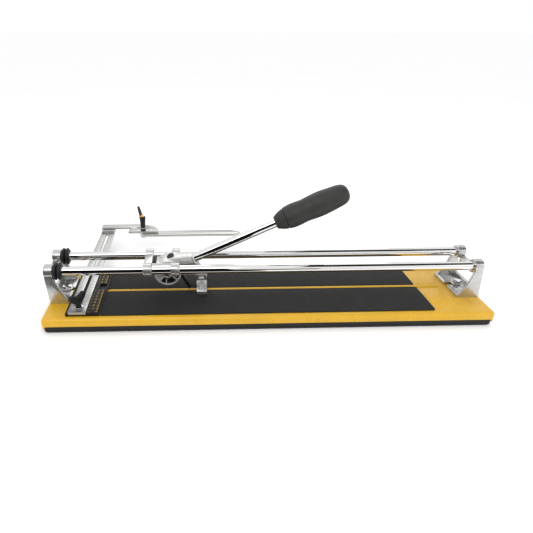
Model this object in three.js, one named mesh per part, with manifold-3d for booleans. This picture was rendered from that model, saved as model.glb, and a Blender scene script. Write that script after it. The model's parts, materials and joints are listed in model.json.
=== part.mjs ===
// Manual tile cutter: a folded steel base with rubber pads, two guide rails between
// end brackets, a sliding carriage with a scoring and breaking lever, and a lateral
// gauge with a swivelling fence. Millimetres, +Z up, +X along the rails, -Y is the
// front. The origin is the middle of the underside.
import * as THREE from "three";
import { mergeVertices } from "three/addons/utils/BufferGeometryUtils.js";
import Module from "manifold-3d";

const wasm = await Module();
wasm.setup();

// ---- driving dimensions ----
const GAP = 0.3; // clearance between pieces that touch
const BASE = { length: 780, width: 185, top: 27, lip: 13, endLip: 6, sheet: 2, edge: 6, corner: 8 };
const SOLE = { inset: [2.6, 1.5], chamfer: 2.4, floor: 3, wall: 8, rib: 7 };
const RIDGE = { from: -291.2, to: 331, width: 7.4, height: 2.8 };
const PAD = { from: -291.2, to: 287, inner: 4.2, outer: 82, thickness: 2, corner: 4 };
const PANEL = { from: 289, to: 337, inner: 7, outer: 58, height: 0.8, corner: 12 };
const BEAD = { x: 362, inner: 50, outer: 76, width: 3, height: 0.7 };

const RAIL = { radius: 8, spacing: 58, z: 86, from: -387.9, to: 378.6, sides: 32 };
const BRACKET = { outer: 385.3, half: 41.5, foot: 6, plate: 5, ring: 12.5, wall: 6, wallTop: 13 };
const BRACKET_BAR = { depth: 8, half: 20, low: 40, high: 54.7 };
// A bracket's outer wall leans by `lean` from its foot to its rings.
const BRACKET_RIGHT = { depth: 41, lean: -5.9, ring: 15, waist: [-25, 20] };
const BRACKET_LEFT = { depth: 34, lean: 3.4, ring: 15, waist: [-21, 25] };
const FOOT_BOLT = { inset: 21.3, shank: 4, end: -14, slot: 5, head: 15, height: 5.3 };
const FOOT_WASHER = { radius: 9.5, thickness: 1.6 };
const FOOT_NUT = { flats: 13, height: 7 };
const SET_SCREW = { radius: 2, length: 4.4 };
const BUMPER = { from: -373.4, length: 14.2, core: 11.3, lobe: 15.5 };

const CARRIAGE = { x: -178, ring: 12, bore: 10, cheekIn: 16.5, cheekOut: 20.5 };
const YOKES = [
  { name: "left", from: -41, to: -26.5 },
  { name: "right", from: 7, to: 22 },
];
const BRIDGE = { low: -2, high: 7 };
const BUFFER = { from: -26.2, half: 13, low: 1.5, high: 7.6, ridge: 3.3 };
const PIVOT = { drop: 14.5, boss: 7.8, pin: 5, bore: 5.3, head: 6.2, headEnd: 28 };
const PIVOT_NUT = { thread: 3, threadLength: 7, flats: 10, height: 5.5 };

const HANDLE_ANGLE = THREE.MathUtils.degToRad(25);
const DRUM = { radius: 24.6, half: 16, hub: 9.5, rim: 20.6, pocket: 10, spokes: 6, spoke: 2.4 };
const DRUM_SECTOR = { from: 178, to: 232 };
const SOCKET = { half: 10, mouth: 9.4, end: 54, floor: 30, edge: 4 };
const ROD = { radius: 8, from: 30.6, to: 302.6 };
const COLLAR = { from: 209, to: 227.8 };
const GRIP = { from: 228.1, bore: 303, end: 341.6 };
const HOLDER_ANGLE = THREE.MathUtils.degToRad(27.6);
const HOLDER = { u: 17.4, radius: 3.4, top: 23, forkTop: -48, forkEnd: -52.6, fork: 3.6, slot: 3 };
const HOLDER_NUT = { flats: 12, low: 15.8, high: 23.8, spot: 8 };
const AXLE_HALF = 3.4;
const WHEEL = { radius: 3.2, w: -52, half: 1.1, land: 2.3, bore: 1.2, axle: 0.9 };
const FOOT = { x: 61, half: 9.5, reach: 23, sole: -41.2, edge: -34.8, crown: -19, notch: 8 };
const FOOT_PIN = { z: -14, radius: 2.5, bore: 2.8, tongue: 4.5 };

const TRAY = { left: -349.6, right: -291.5, front: -82, back: 87, floor: 30, lip: 33 };
const TRAY_SCREW = { x: -303, y: [-55, 55], radius: 2, low: 18, head: 4, headLow: 30.5, top: 32.4 };
const SCALE = { left: -313.9, right: -295, low: 33, high: 34.2 };
const NOTCH = { left: -306, front: -3, back: 16 };
const ARM = { left: -345.1, right: -314.5, front: -82.3, back: 272, low: 30.3, high: 36 };
const ARM_SLOT = { x: -329.4, half: 2.8, front: -72, back: 243 };
const STUD = { y: -66, radius: 2.4, bore: 2.7, top: 56, head: 8, headHeight: 4 };
const CLAMP_WASHER = { radius: 8.6, thickness: 1.5 };
const WING = { hub: [5, 5.6], low: 38.1, high: 50, half: 3.4, turn: 50 };
const HEAD = { low: 42, high: 47, barBack: 272, barFront: 253, radius: 34, front: 228 };
const HEAD_SLOT = { inner: 18.5, outer: 25.5, from: 16, to: 150 };
const HEAD_SCREW = { x: [-339.6, -321], y: 258.5, radius: 2.5, head: 4.4, low: 27.4, high: 45.2 };
const SWIVEL = { x: -245.5, y: 233, head: 6.5, headHeight: 4.5, nut: 11, washer: 7.2 };
const SPACER = { left: -344, right: -315, front: 246, back: 271 };
const FENCE = { left: -254, right: -21.5, front: 221.5, back: 244.5, low: 36, high: 41.7 };
const CLAMP = { nutTop: 54.5, washerTop: 56.3, hubLow: 56.6, hubTop: 82, studTop: 70 };
const CLAMP_ARM = { z: 74.5, lean: [-12, 38, 15], root: 5, tip: 3.2 };
const CLAMP_CAP = { thickness: 1.7, radius: [4.6, 3.8] };

const PAD_LOW = BASE.top + GAP;
const RAIL_Y = RAIL.spacing / 2;
const RAIL_BORE = RAIL.radius + GAP;

// ---- materials ----
function finish(color, metalness, roughness) {
  return new THREE.MeshStandardMaterial({ color, metalness, roughness });
}

const PAINT = finish(0xdba83c, 0.1, 0.35);
const RUBBER = finish(0x2f2f30, 0, 0.85);
const CHROME = finish(0xe2e4e6, 1, 0.1);
const CAST = finish(0xc6c8c9, 1, 0.28);
const ALUMINIUM = finish(0xc9cac6, 1, 0.38);
const STEEL = finish(0xb4b6b8, 1, 0.25);
const BLACK_STEEL = finish(0x26262a, 0.6, 0.4);
const BLACK_PLASTIC = finish(0x222224, 0, 0.5);
const GRIP_FOAM = finish(0x3b3c40, 0, 0.7);
const YELLOW_PLASTIC = finish(0xe0a526, 0, 0.4);

// ---- solids ----
function solid(geometry) {
  const bare = geometry.index ? geometry.toNonIndexed() : geometry.clone();
  bare.deleteAttribute("normal");
  bare.deleteAttribute("uv");
  const merged = mergeVertices(bare, 1e-4);
  const vertProperties = merged.attributes.position.array;
  const triVerts = new Uint32Array(merged.index.array);
  return new wasm.Manifold(new wasm.Mesh({ numProp: 3, vertProperties, triVerts }));
}

function geometryOf(body) {
  const made = body.getMesh();
  const geometry = new THREE.BufferGeometry();
  geometry.setAttribute("position", new THREE.BufferAttribute(made.vertProperties, 3));
  geometry.setIndex(new THREE.BufferAttribute(made.triVerts, 1));
  geometry.computeVertexNormals();
  return geometry;
}

function join(...geometries) {
  return geometries.map(solid).reduce((all, next) => all.add(next));
}

function cut(body, ...geometries) {
  return geometries.map(solid).reduce((all, next) => all.subtract(next), body);
}

function block(x, y, z) {
  const size = [x, y, z].map(([low, high]) => high - low);
  const middle = [x, y, z].map(([low, high]) => (low + high) / 2);
  return new THREE.BoxGeometry(...size).translate(...middle);
}

// A round bar along "X", "Y" or "Z" between two stations; radius may be [start, end].
function bar(axis, [from, to], radius, centre = [0, 0, 0], sides = 24) {
  const [start, end] = Array.isArray(radius) ? radius : [radius, radius];
  const shape = new THREE.CylinderGeometry(end, start, to - from, sides);
  shape.translate(0, (from + to) / 2, 0);
  if (axis === "X") shape.rotateZ(-Math.PI / 2);
  if (axis === "Z") shape.rotateX(Math.PI / 2);
  return shape.translate(...centre);
}

// A hexagonal bar, sized across its flats.
function hexagon(axis, span, flats, centre) {
  return bar(axis, span, flats / Math.sqrt(3), centre, 6);
}

// A turned shape about X: the profile is [station, radius] pairs, runs along +X on its
// outer side, and closes on itself or starts and ends on the axis.
function turned(profile, centre = [0, 0, 0], sides = 24) {
  const points = profile.map(([station, radius]) => new THREE.Vector2(radius, station));
  return new THREE.LatheGeometry(points, sides).rotateZ(-Math.PI / 2).translate(...centre);
}

function outline(points) {
  return new THREE.Shape(points.map(([a, b]) => new THREE.Vector2(a, b)));
}

function roundedRectangle([a0, a1], [b0, b1], radius) {
  const shape = new THREE.Shape();
  shape.absarc(a1 - radius, b0 + radius, radius, -Math.PI / 2, 0);
  shape.absarc(a1 - radius, b1 - radius, radius, 0, Math.PI / 2);
  shape.absarc(a0 + radius, b1 - radius, radius, Math.PI / 2, Math.PI);
  shape.absarc(a0 + radius, b0 + radius, radius, Math.PI, Math.PI * 1.5);
  return shape;
}

// The three ways an outline is laid: its two axes and the one it is extruded along.
const PLANES = {
  XY: [new THREE.Vector3(1, 0, 0), new THREE.Vector3(0, 1, 0), new THREE.Vector3(0, 0, 1)],
  XZ: [new THREE.Vector3(1, 0, 0), new THREE.Vector3(0, 0, 1), new THREE.Vector3(0, -1, 0)],
  YZ: [new THREE.Vector3(0, 1, 0), new THREE.Vector3(0, 0, 1), new THREE.Vector3(1, 0, 0)],
};

function prism(shape, plane, [from, to], curveSegments = 5) {
  const options = { depth: to - from, bevelEnabled: false, curveSegments };
  const start = plane === "XZ" ? -to : from;
  const geometry = new THREE.ExtrudeGeometry(shape, options).translate(0, 0, start);
  return geometry.applyMatrix4(new THREE.Matrix4().makeBasis(...PLANES[plane]));
}

// A plate in plan whose top and bottom edges are rounded or chamfered by `edge`.
function softPlate(halfLength, halfWidth, corner, [low, high], edge, steps) {
  const inner = [halfLength - edge, halfWidth - edge];
  const shape = roundedRectangle([-inner[0], inner[0]], [-inner[1], inner[1]], corner);
  const options = {
    depth: high - low - 2 * edge,
    bevelSize: edge,
    bevelThickness: edge,
    bevelSegments: steps,
    curveSegments: 2,
  };
  return new THREE.ExtrudeGeometry(shape, options).translate(0, 0, low + edge);
}

// ---- the scene graph ----
const cutter = new THREE.Group();

function add(group, name, shape, material) {
  const geometry = shape.isBufferGeometry ? shape : geometryOf(shape);
  const mesh = new THREE.Mesh(geometry, material);
  mesh.name = name;
  group.add(mesh);
}

function subgroup(parent, x, y, z) {
  const group = new THREE.Group();
  group.position.set(x, y, z);
  parent.add(group);
  return group;
}

// ---- base ----
function ridgeBar() {
  const shape = new THREE.Shape();
  shape.absellipse(0, BASE.top - 0.4, RIDGE.width / 2, RIDGE.height + 0.4, 0, Math.PI);
  return prism(shape, "YZ", [RIDGE.from, RIDGE.to]);
}

// A low pressed panel beside the end of a pad.
function pressedPanel(side) {
  const across = [side * PANEL.inner, side * PANEL.outer].sort((a, b) => a - b);
  const shape = roundedRectangle([PANEL.from, PANEL.to], across, PANEL.corner);
  return prism(shape, "XY", [BASE.top - 1, BASE.top + PANEL.height], 4);
}

function pressedBead(end, side) {
  const x = [end * BEAD.x - BEAD.width / 2, end * BEAD.x + BEAD.width / 2];
  const y = [side * BEAD.inner, side * BEAD.outer].sort((a, b) => a - b);
  const shape = roundedRectangle(x, y, BEAD.width / 2 - 0.05);
  return prism(shape, "XY", [BASE.top - 1, BASE.top + BEAD.height], 2);
}

function footBoltX(end) {
  return end * (BRACKET.outer - FOOT_BOLT.inset);
}

function basePan() {
  const { length, width, top, lip, endLip, sheet, edge } = BASE;
  const low = endLip - edge - 2;
  const corner = BASE.corner - edge;
  const outer = softPlate(length / 2, width / 2, corner, [low, top], edge, 3);
  const hollow = softPlate(
    length / 2 - sheet,
    width / 2 - sheet,
    corner,
    [low - 4, top - sheet],
    edge - sheet,
    1,
  );
  const inner = length / 2 - sheet;
  const below = [
    block([-length, length], [-width, width], [low - 10, endLip]),
    block([-inner, inner], [-width, width], [low - 10, lip]),
  ];
  const embossed = [ridgeBar()];
  for (const side of [-1, 1]) {
    embossed.push(pressedPanel(side));
    for (const end of [-1, 1]) embossed.push(pressedBead(end, side));
  }
  const holes = [-1, 1].map((end) =>
    bar("Z", [top - 5, top + 5], FOOT_BOLT.slot, [footBoltX(end), 0, 0], 16),
  );
  holes.push(bar("Z", [top - 5, top + 5], STUD.bore, [ARM_SLOT.x, STUD.y, 0], 16));
  for (const y of TRAY_SCREW.y) {
    holes.push(bar("Z", [top - 5, top + 5], TRAY_SCREW.radius + GAP, [TRAY_SCREW.x, y, 0], 8));
  }
  return cut(join(outer, ...embossed), hollow, ...below, ...holes);
}

// The moulded sole under the pan: a tray with ribs that reach up to the sheet.
function baseSole() {
  const half = [BASE.length / 2 - SOLE.inset[0], BASE.width / 2 - SOLE.inset[1]];
  const top = BASE.lip - GAP;
  const plate = softPlate(half[0], half[1], 4, [0, top + 8], SOLE.chamfer, 1);
  const above = block([-500, 500], [-200, 200], [top, top + 20]);
  const inside = [half[0] - SOLE.wall, half[1] - SOLE.wall];
  const tray = block([-inside[0], inside[0]], [-inside[1], inside[1]], [SOLE.floor, top + 20]);
  const body = cut(solid(plate), above, tray);
  const ribZ = [SOLE.floor - 1, BASE.top - BASE.sheet - GAP];
  const ribs = [block([-335, 335], [-SOLE.rib / 2, SOLE.rib / 2], ribZ)];
  for (const x of [-225, -75, 75, 225]) {
    ribs.push(block([x - SOLE.rib / 2, x + SOLE.rib / 2], [-78, 78], ribZ));
  }
  return ribs.map(solid).reduce((all, rib) => all.add(rib), body);
}

function pad(side) {
  const across = [side * PAD.inner, side * PAD.outer].sort((a, b) => a - b);
  const shape = roundedRectangle([PAD.from, PAD.to], across, PAD.corner);
  return prism(shape, "XY", [PAD_LOW, PAD_LOW + PAD.thickness], 5);
}

add(cutter, "base_pan", basePan(), PAINT);
add(cutter, "base_sole", baseSole(), RUBBER);
add(cutter, "pad_front", pad(-1), RUBBER);
add(cutter, "pad_back", pad(1), RUBBER);

// ---- end brackets and rails ----
const RAIL_UP = RAIL.z - BASE.top - GAP;

// One side wall of a bracket: wide at the foot, narrow at the rail.
function gusset(size, y) {
  const shape = new THREE.Shape();
  const inner = size.lean - size.ring;
  shape.moveTo(-size.depth, 0);
  shape.lineTo(0, 0);
  shape.lineTo(size.lean, RAIL_UP);
  shape.lineTo(inner, RAIL_UP);
  shape.lineTo(inner, RAIL_UP - BUMPER.lobe - 1);
  shape.quadraticCurveTo(...size.waist, -size.depth + 1.5, BRACKET.foot - 1);
  return prism(shape, "XZ", y, 6);
}

// The low wall across the foot's outer end, leaning with the gussets.
function endWall(size) {
  const { half, wall, wallTop } = BRACKET;
  const shift = (size.lean * wallTop) / RAIL_UP;
  const section = outline([
    [-wall, 0],
    [0, 0],
    [shift, wallTop],
    [shift - wall, wallTop],
  ]);
  return prism(section, "XZ", [-half + 1, half - 1]);
}

// Built with its foot's outer edge at x = 0 and its foot at z = 0, reaching towards -X.
function bracket(size) {
  const { half, foot, plate, ring } = BRACKET;
  const parts = [
    block([-size.depth, 0], [-half, half], [0, foot]),
    endWall(size),
    block(
      [size.lean - BRACKET_BAR.depth, size.lean],
      [-BRACKET_BAR.half, BRACKET_BAR.half],
      [BRACKET_BAR.low, BRACKET_BAR.high],
    ),
    gusset(size, [-half, -half + plate]),
    gusset(size, [half - plate, half]),
  ];
  const cuts = [
    bar("Z", [-1, foot + 1], FOOT_BOLT.slot, [-FOOT_BOLT.inset, 0, 0], 16),
    block([-size.depth - 1, -FOOT_BOLT.inset], [-FOOT_BOLT.slot, FOOT_BOLT.slot], [-1, foot + 1]),
  ];
  for (const side of [-1, 1]) {
    const y = side * RAIL_Y;
    const x = [size.lean - size.ring, size.lean];
    const screwX = (x[0] + x[1]) / 2;
    parts.push(bar("X", x, ring, [0, y, RAIL_UP], RAIL.sides));
    cuts.push(bar("X", [x[0] - 1, x[1] + 1], RAIL_BORE, [0, y, RAIL_UP], RAIL.sides));
    cuts.push(bar("Z", [-ring - 1, 0], SET_SCREW.radius + GAP, [screwX, y, RAIL_UP], 8));
  }
  return cut(join(...parts), ...cuts);
}

function addBracket(size, end, label) {
  const group = subgroup(cutter, end * BRACKET.outer, 0, BASE.top + GAP);
  group.rotation.z = end > 0 ? 0 : Math.PI;
  add(group, `bracket_${label}`, bracket(size), CAST);
  const x = -FOOT_BOLT.inset;
  const washer = [BRACKET.foot + GAP, BRACKET.foot + GAP + FOOT_WASHER.thickness];
  const head = [washer[1] + GAP, washer[1] + GAP + FOOT_BOLT.height];
  const nutTop = -BASE.sheet - 2 * GAP;
  const nut = [nutTop - FOOT_NUT.height, nutTop];
  const bolt = join(
    hexagon("Z", head, FOOT_BOLT.head, [x, 0, 0]),
    bar("Z", [FOOT_BOLT.end, head[0] + 1], FOOT_BOLT.shank, [x, 0, 0], 16),
  );
  const hole = bar("Z", [-30, 30], FOOT_BOLT.shank + GAP, [x, 0, 0], 16);
  add(group, `bracket_bolt_${label}`, bolt, STEEL);
  const washerDisc = solid(bar("Z", washer, FOOT_WASHER.radius, [x, 0, 0]));
  add(group, `bracket_washer_${label}`, cut(washerDisc, hole), STEEL);
  const nutBody = solid(hexagon("Z", nut, FOOT_NUT.flats, [x, 0, 0]));
  add(group, `bracket_nut_${label}`, cut(nutBody, hole), STEEL);
  for (const [side, name] of [[-end, "front"], [end, "back"]]) {
    const screwTop = RAIL_UP - RAIL.radius - GAP;
    const screw = bar(
      "Z",
      [screwTop - SET_SCREW.length, screwTop],
      SET_SCREW.radius,
      [size.lean - size.ring / 2, side * RAIL_Y, 0],
      8,
    );
    add(group, `rail_screw_${label}_${name}`, screw, BLACK_STEEL);
  }
}

// A rubber ring of two lobes on the left end of a rail.
function bumper(y) {
  const { length, core, lobe } = BUMPER;
  const profile = [
    [0, RAIL_BORE],
    [0, core + 1],
  ];
  for (const middle of [0.25 * length, 0.75 * length]) {
    profile.push([middle - 3.2, lobe - 0.9], [middle - 1.4, lobe], [middle + 1.4, lobe]);
    profile.push([middle + 3.2, lobe - 0.9]);
    if (middle < length / 2) profile.push([length / 2, core]);
  }
  profile.push([length, core + 1], [length, RAIL_BORE], [0, RAIL_BORE]);
  return turned(profile, [BUMPER.from, y, RAIL.z]);
}

addBracket(BRACKET_RIGHT, 1, "right");
addBracket(BRACKET_LEFT, -1, "left");
for (const [side, name] of [[-1, "front"], [1, "back"]]) {
  const centre = [0, side * RAIL_Y, RAIL.z];
  add(cutter, `rail_${name}`, bar("X", [RAIL.from, RAIL.to], RAIL.radius, centre, RAIL.sides), CHROME);
  add(cutter, `bumper_${name}`, bumper(side * RAIL_Y), RUBBER);
}

// ---- carriage ----
// Its own frame is at the pivot's X and the rails' height.
const carriage = subgroup(cutter, CARRIAGE.x, 0, RAIL.z);

function cheek(y) {
  const [left, right] = [YOKES[0].from, YOKES[1].to];
  const shape = outline([
    [left, -8.5],
    [left + 6, -11.5],
    [right - 7, -11.5],
    [right, -8.5],
    [right, 5],
    [left, BRIDGE.high],
  ]);
  return prism(shape, "XZ", y);
}

function carriageCasting() {
  const parts = [block([YOKES[0].from, YOKES[0].to], [-20, 20], [BRIDGE.low, BRIDGE.high])];
  const cuts = [];
  for (const side of [-1, 1]) {
    const y = [side * CARRIAGE.cheekIn, side * CARRIAGE.cheekOut].sort((a, b) => a - b);
    parts.push(cheek(y));
    parts.push(bar("Y", y, PIVOT.boss, [0, 0, -PIVOT.drop]));
    for (const yoke of YOKES) {
      const centre = [0, side * RAIL_Y, 0];
      parts.push(bar("X", [yoke.from, yoke.to], CARRIAGE.ring, centre, RAIL.sides));
      cuts.push(bar("X", [yoke.from - 1, yoke.to + 1], CARRIAGE.bore, centre, RAIL.sides));
    }
  }
  cuts.push(bar("Y", [-30, 30], PIVOT.bore, [0, 0, -PIVOT.drop], 20));
  return cut(join(...parts), ...cuts);
}

// A plain bearing sleeve inside one ring of a yoke.
function railBush(yoke, side) {
  const centre = [0, side * RAIL_Y, 0];
  const sleeve = bar("X", [yoke.from + GAP, yoke.to - GAP], CARRIAGE.bore - GAP, centre, RAIL.sides);
  return cut(solid(sleeve), bar("X", [yoke.from - 1, yoke.to + 1], RAIL_BORE, centre, RAIL.sides));
}

// The two-ridged rubber block on the bridge, behind the lever.
function leverBuffer() {
  const { from, low, high, ridge } = BUFFER;
  const shape = new THREE.Shape();
  shape.moveTo(from, low);
  shape.lineTo(from + 2 * ridge, low);
  shape.lineTo(from + 2 * ridge, high - ridge / 2);
  shape.absarc(from + 1.5 * ridge, high - ridge / 2, ridge / 2, 0, Math.PI);
  shape.absarc(from + 0.5 * ridge, high - ridge / 2, ridge / 2, 0, Math.PI);
  return prism(shape, "XZ", [-BUFFER.half, BUFFER.half], 5);
}

// A shouldered pin with a round head in front and a reduced threaded end at the back.
function pivotPin() {
  const shoulder = CARRIAGE.cheekOut;
  const threadSpan = [shoulder - 1, shoulder + PIVOT_NUT.threadLength];
  return join(
    bar("Y", [-PIVOT.headEnd, -shoulder - GAP], PIVOT.head, [0, 0, -PIVOT.drop]),
    bar("Y", [-shoulder - 1, shoulder], PIVOT.pin, [0, 0, -PIVOT.drop], 20),
    bar("Y", threadSpan, PIVOT_NUT.thread, [0, 0, -PIVOT.drop], 16),
  );
}

function pivotNut() {
  const span = [CARRIAGE.cheekOut + GAP, CARRIAGE.cheekOut + GAP + PIVOT_NUT.height];
  const nut = solid(hexagon("Y", span, PIVOT_NUT.flats, [0, 0, -PIVOT.drop]));
  return cut(nut, bar("Y", [10, 40], PIVOT_NUT.thread + GAP, [0, 0, -PIVOT.drop], 16));
}

add(carriage, "carriage", carriageCasting(), CAST);
for (const yoke of YOKES) {
  for (const [side, name] of [[-1, "front"], [1, "back"]]) {
    add(carriage, `rail_bush_${yoke.name}_${name}`, railBush(yoke, side), BLACK_PLASTIC);
  }
}
add(carriage, "lever_buffer", leverBuffer(), RUBBER);
add(carriage, "pivot_pin", pivotPin(), STEEL);
add(carriage, "pivot_nut", pivotNut(), STEEL);

// ---- lever ----
// The lever's frame is at the pivot; the frames of the handle and of the wheel's holder
// are the same, tilted up.
const lever = subgroup(carriage, 0, 0, -PIVOT.drop);
const handle = subgroup(lever, 0, 0, 0);
handle.rotation.y = -HANDLE_ANGLE;
const wheelPost = subgroup(lever, 0, 0, 0);
wheelPost.rotation.y = -HOLDER_ANGLE;

// The annular pocket in one face of the drum, less its spokes and one solid sector.
function drumPocket(side) {
  const { half, pocket, rim, hub, spokes, spoke } = DRUM;
  const y = [side * (half - pocket), side * (half + 1)].sort((a, b) => a - b);
  const ring = cut(solid(bar("Y", y, rim, [0, 0, 0], 36)), bar("Y", [-40, 40], hub));
  const webs = [];
  for (let i = 0; i < spokes; i += 1) {
    const angle = THREE.MathUtils.degToRad(-39 + (360 / spokes) * i);
    const web = block([0, rim + 1], y, [-spoke / 2, spoke / 2]);
    webs.push(web.rotateY(-angle));
  }
  const sector = new THREE.Shape();
  sector.moveTo(0, 0);
  const [from, to] = [DRUM_SECTOR.from, DRUM_SECTOR.to].map(THREE.MathUtils.degToRad);
  sector.absarc(0, 0, rim + 1, from, to);
  webs.push(prism(sector, "XZ", y));
  return cut(ring, ...webs);
}

// The wedge-shaped hood that the handle is pushed into: deep at the drum, tapering to the
// mouth, with rounded edges.
function socketHood() {
  const { half, mouth, end, edge } = SOCKET;
  const shape = outline([
    [-12, -8],
    [0, -14],
    [end, -mouth],
    [end, mouth],
    [22.5, 20.6],
    [10, 22.4],
    [-8, 18],
  ]);
  const options = {
    depth: 2 * (half - edge),
    bevelSize: edge,
    bevelThickness: edge,
    bevelOffset: -edge,
    bevelSegments: 2,
  };
  const hood = new THREE.ExtrudeGeometry(shape, options).translate(0, 0, edge - half);
  return hood.applyMatrix4(new THREE.Matrix4().makeBasis(...PLANES.XZ)).rotateY(-HANDLE_ANGLE);
}

// The curved arm from the drum and socket down to the foot's pin.
function leverArm() {
  const shape = outline([
    [8, -8],
    [48, -9],
    [69.5, -9],
    [69.5, -4],
    [60.5, 6],
    [52, 19],
    [44, 24],
    [8, 12],
  ]);
  return prism(shape, "XZ", [-7, 7]);
}

function leverCasting() {
  const { tongue, z, bore } = FOOT_PIN;
  const body = join(
    bar("Y", [-DRUM.half, DRUM.half], DRUM.radius, [0, 0, 0], 44),
    socketHood(),
    leverArm(),
    block([48, 69.5], [-9.5, 9.5], [-9, -4]),
    block([FOOT.x - tongue, FOOT.x + tongue], [-3.5, 3.5], [z, -8]),
    bar("X", [FOOT.x - tongue, FOOT.x + tongue], 3.5, [0, 0, z], 12),
  );
  const spot = [HOLDER_NUT.low - GAP, 45];
  const handleBore = bar("X", [SOCKET.floor, SOCKET.end + 20], ROD.radius + GAP, [0, 0, 0], 28);
  const hollowed = cut(
    body,
    bar("Y", [-30, 30], PIVOT.bore, [0, 0, 0], 20),
    handleBore.rotateY(-HANDLE_ANGLE),
    bar("Z", [-50, 50], HOLDER.radius + GAP, [HOLDER.u, 0, 0], 16).rotateY(-HOLDER_ANGLE),
    bar("Z", spot, HOLDER_NUT.spot, [HOLDER.u, 0, 0], 24).rotateY(-HOLDER_ANGLE),
    bar("X", [40, 80], bore, [0, 0, z], 12),
  );
  return hollowed.subtract(drumPocket(-1)).subtract(drumPocket(1));
}

function gripCollar() {
  return turned([
    [COLLAR.from, RAIL_BORE],
    [COLLAR.from, 10],
    [210.2, 11],
    [213, 12.6],
    [217.5, 15],
    [222.5, 17],
    [COLLAR.to, 18.4],
    [COLLAR.to, RAIL_BORE],
    [COLLAR.from, RAIL_BORE],
  ]);
}

// A full, slightly waisted hand grip with a rounded end.
function grip() {
  return turned([
    [GRIP.bore, 0],
    [GRIP.bore, RAIL_BORE],
    [GRIP.from, RAIL_BORE],
    [GRIP.from, 18.8],
    [233, 19.9],
    [241, 20.8],
    [250, 20.6],
    [261, 19.7],
    [272, 20.4],
    [284, 21.2],
    [295, 21.2],
    [306, 20.3],
    [317, 19.3],
    [326, 18.3],
    [333, 16.4],
    [338, 13],
    [340.8, 8],
    [GRIP.end, 3],
    [GRIP.end, 0],
  ]);
}

// The wheel's black steel holder: a round shaft with a fork at its lower end.
function wheelHolder() {
  const { u, radius, top, forkTop, forkEnd, fork, slot } = HOLDER;
  const body = join(
    bar("Z", [forkTop, top], radius, [u, 0, 0], 16),
    bar("Z", [forkEnd, forkTop + 2], fork, [u, 0, 0], 16),
  );
  return cut(
    body,
    block([u - 10, u + 10], [-slot / 2, slot / 2], [forkEnd - 1, forkTop + 1.5]),
    bar("Y", [-10, 10], WHEEL.bore, [u, 0, WHEEL.w], 12),
  );
}

function holderNut() {
  const nut = solid(hexagon("Z", [HOLDER_NUT.low, HOLDER_NUT.high], HOLDER_NUT.flats, [HOLDER.u, 0, 0]));
  return cut(nut, bar("Z", [0, 60], HOLDER.radius + GAP, [HOLDER.u, 0, 0], 16));
}

// The carbide wheel, turned about Y with a sharp rim.
function scoringWheel() {
  const { half, land, radius, bore } = WHEEL;
  const profile = [
    [-half, bore],
    [-half, land],
    [0, radius],
    [half, land],
    [half, bore],
    [-half, bore],
  ];
  return turned(profile).rotateZ(Math.PI / 2).translate(HOLDER.u, 0, WHEEL.w);
}

// The breaking foot: two sloping wings with flat soles either side of the ridge.
function presserFoot() {
  const { x, half, reach, sole, edge, crown, notch } = FOOT;
  const section = outline([
    [-reach, sole],
    [-notch, sole],
    [0, sole + 9],
    [notch, sole],
    [reach, sole],
    [reach, edge],
    [3, crown],
    [-3, crown],
    [-reach, edge],
  ]);
  const { tongue, z, bore } = FOOT_PIN;
  const earTop = z + 3.3;
  const earY = [-5.5, 5.5];
  const body = join(
    prism(section, "YZ", [x - half, x + half]),
    block([x - half, x - tongue - GAP], earY, [crown - 3, earTop]),
    block([x + tongue + GAP, x + half], earY, [crown - 3, earTop]),
  );
  const run = reach - 3;
  const slope = Math.atan2(crown - edge, run);
  const middle = [3 + run / 2, (crown + edge) / 2];
  const recesses = [-1, 1].map((side) => {
    const shape = roundedRectangle([-4.2, 4.2], [-7, 7], 4);
    const recess = prism(shape, "XY", [-1.4, 6], 4);
    return recess.rotateX(-side * slope).translate(x, side * middle[0], middle[1]);
  });
  return cut(body, bar("X", [40, 80], bore, [0, 0, z], 12), ...recesses);
}

add(lever, "lever_casting", leverCasting(), CAST);
add(handle, "handle_rod", bar("X", [ROD.from, ROD.to], ROD.radius, [0, 0, 0], 28), CHROME);
add(handle, "grip_collar", gripCollar(), BLACK_PLASTIC);
add(handle, "grip", grip(), GRIP_FOAM);
add(wheelPost, "wheel_holder", wheelHolder(), BLACK_STEEL);
add(wheelPost, "holder_nut", holderNut(), BLACK_STEEL);
add(wheelPost, "scoring_wheel", scoringWheel(), STEEL);
add(wheelPost, "wheel_axle", bar("Y", [-AXLE_HALF, AXLE_HALF], WHEEL.axle, [HOLDER.u, 0, WHEEL.w], 12), STEEL);
add(lever, "presser_foot", presserFoot(), CAST);
const pinSpan = [FOOT.x - FOOT.half - 0.6, FOOT.x + FOOT.half + 0.6];
add(lever, "presser_pin", bar("X", pinSpan, FOOT_PIN.radius, [0, 0, FOOT_PIN.z], 12), STEEL);

// ---- lateral gauge: the tray on the base ----
function gaugeTray() {
  const { left, right, front, back, floor, lip } = TRAY;
  const body = join(
    block([left, right], [front, back], [PAD_LOW, floor]),
    block([left, ARM.left - GAP], [front, back], [floor - 1, lip]),
    block([ARM.right + GAP, SCALE.right], [front, back], [floor - 1, SCALE.low - GAP]),
  );
  const holes = TRAY_SCREW.y.flatMap((y) => [
    bar("Z", [20, 40], TRAY_SCREW.radius + GAP, [TRAY_SCREW.x, y, 0], 8),
    bar("Z", [TRAY_SCREW.headLow - GAP, 40], TRAY_SCREW.head + GAP, [TRAY_SCREW.x, y, 0], 16),
  ]);
  return cut(
    body,
    block([NOTCH.left, right + 1], [NOTCH.front, NOTCH.back], [floor, 40]),
    bar("Z", [20, 40], STUD.bore, [ARM_SLOT.x, STUD.y, 0], 16),
    ...holes,
  );
}

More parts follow.
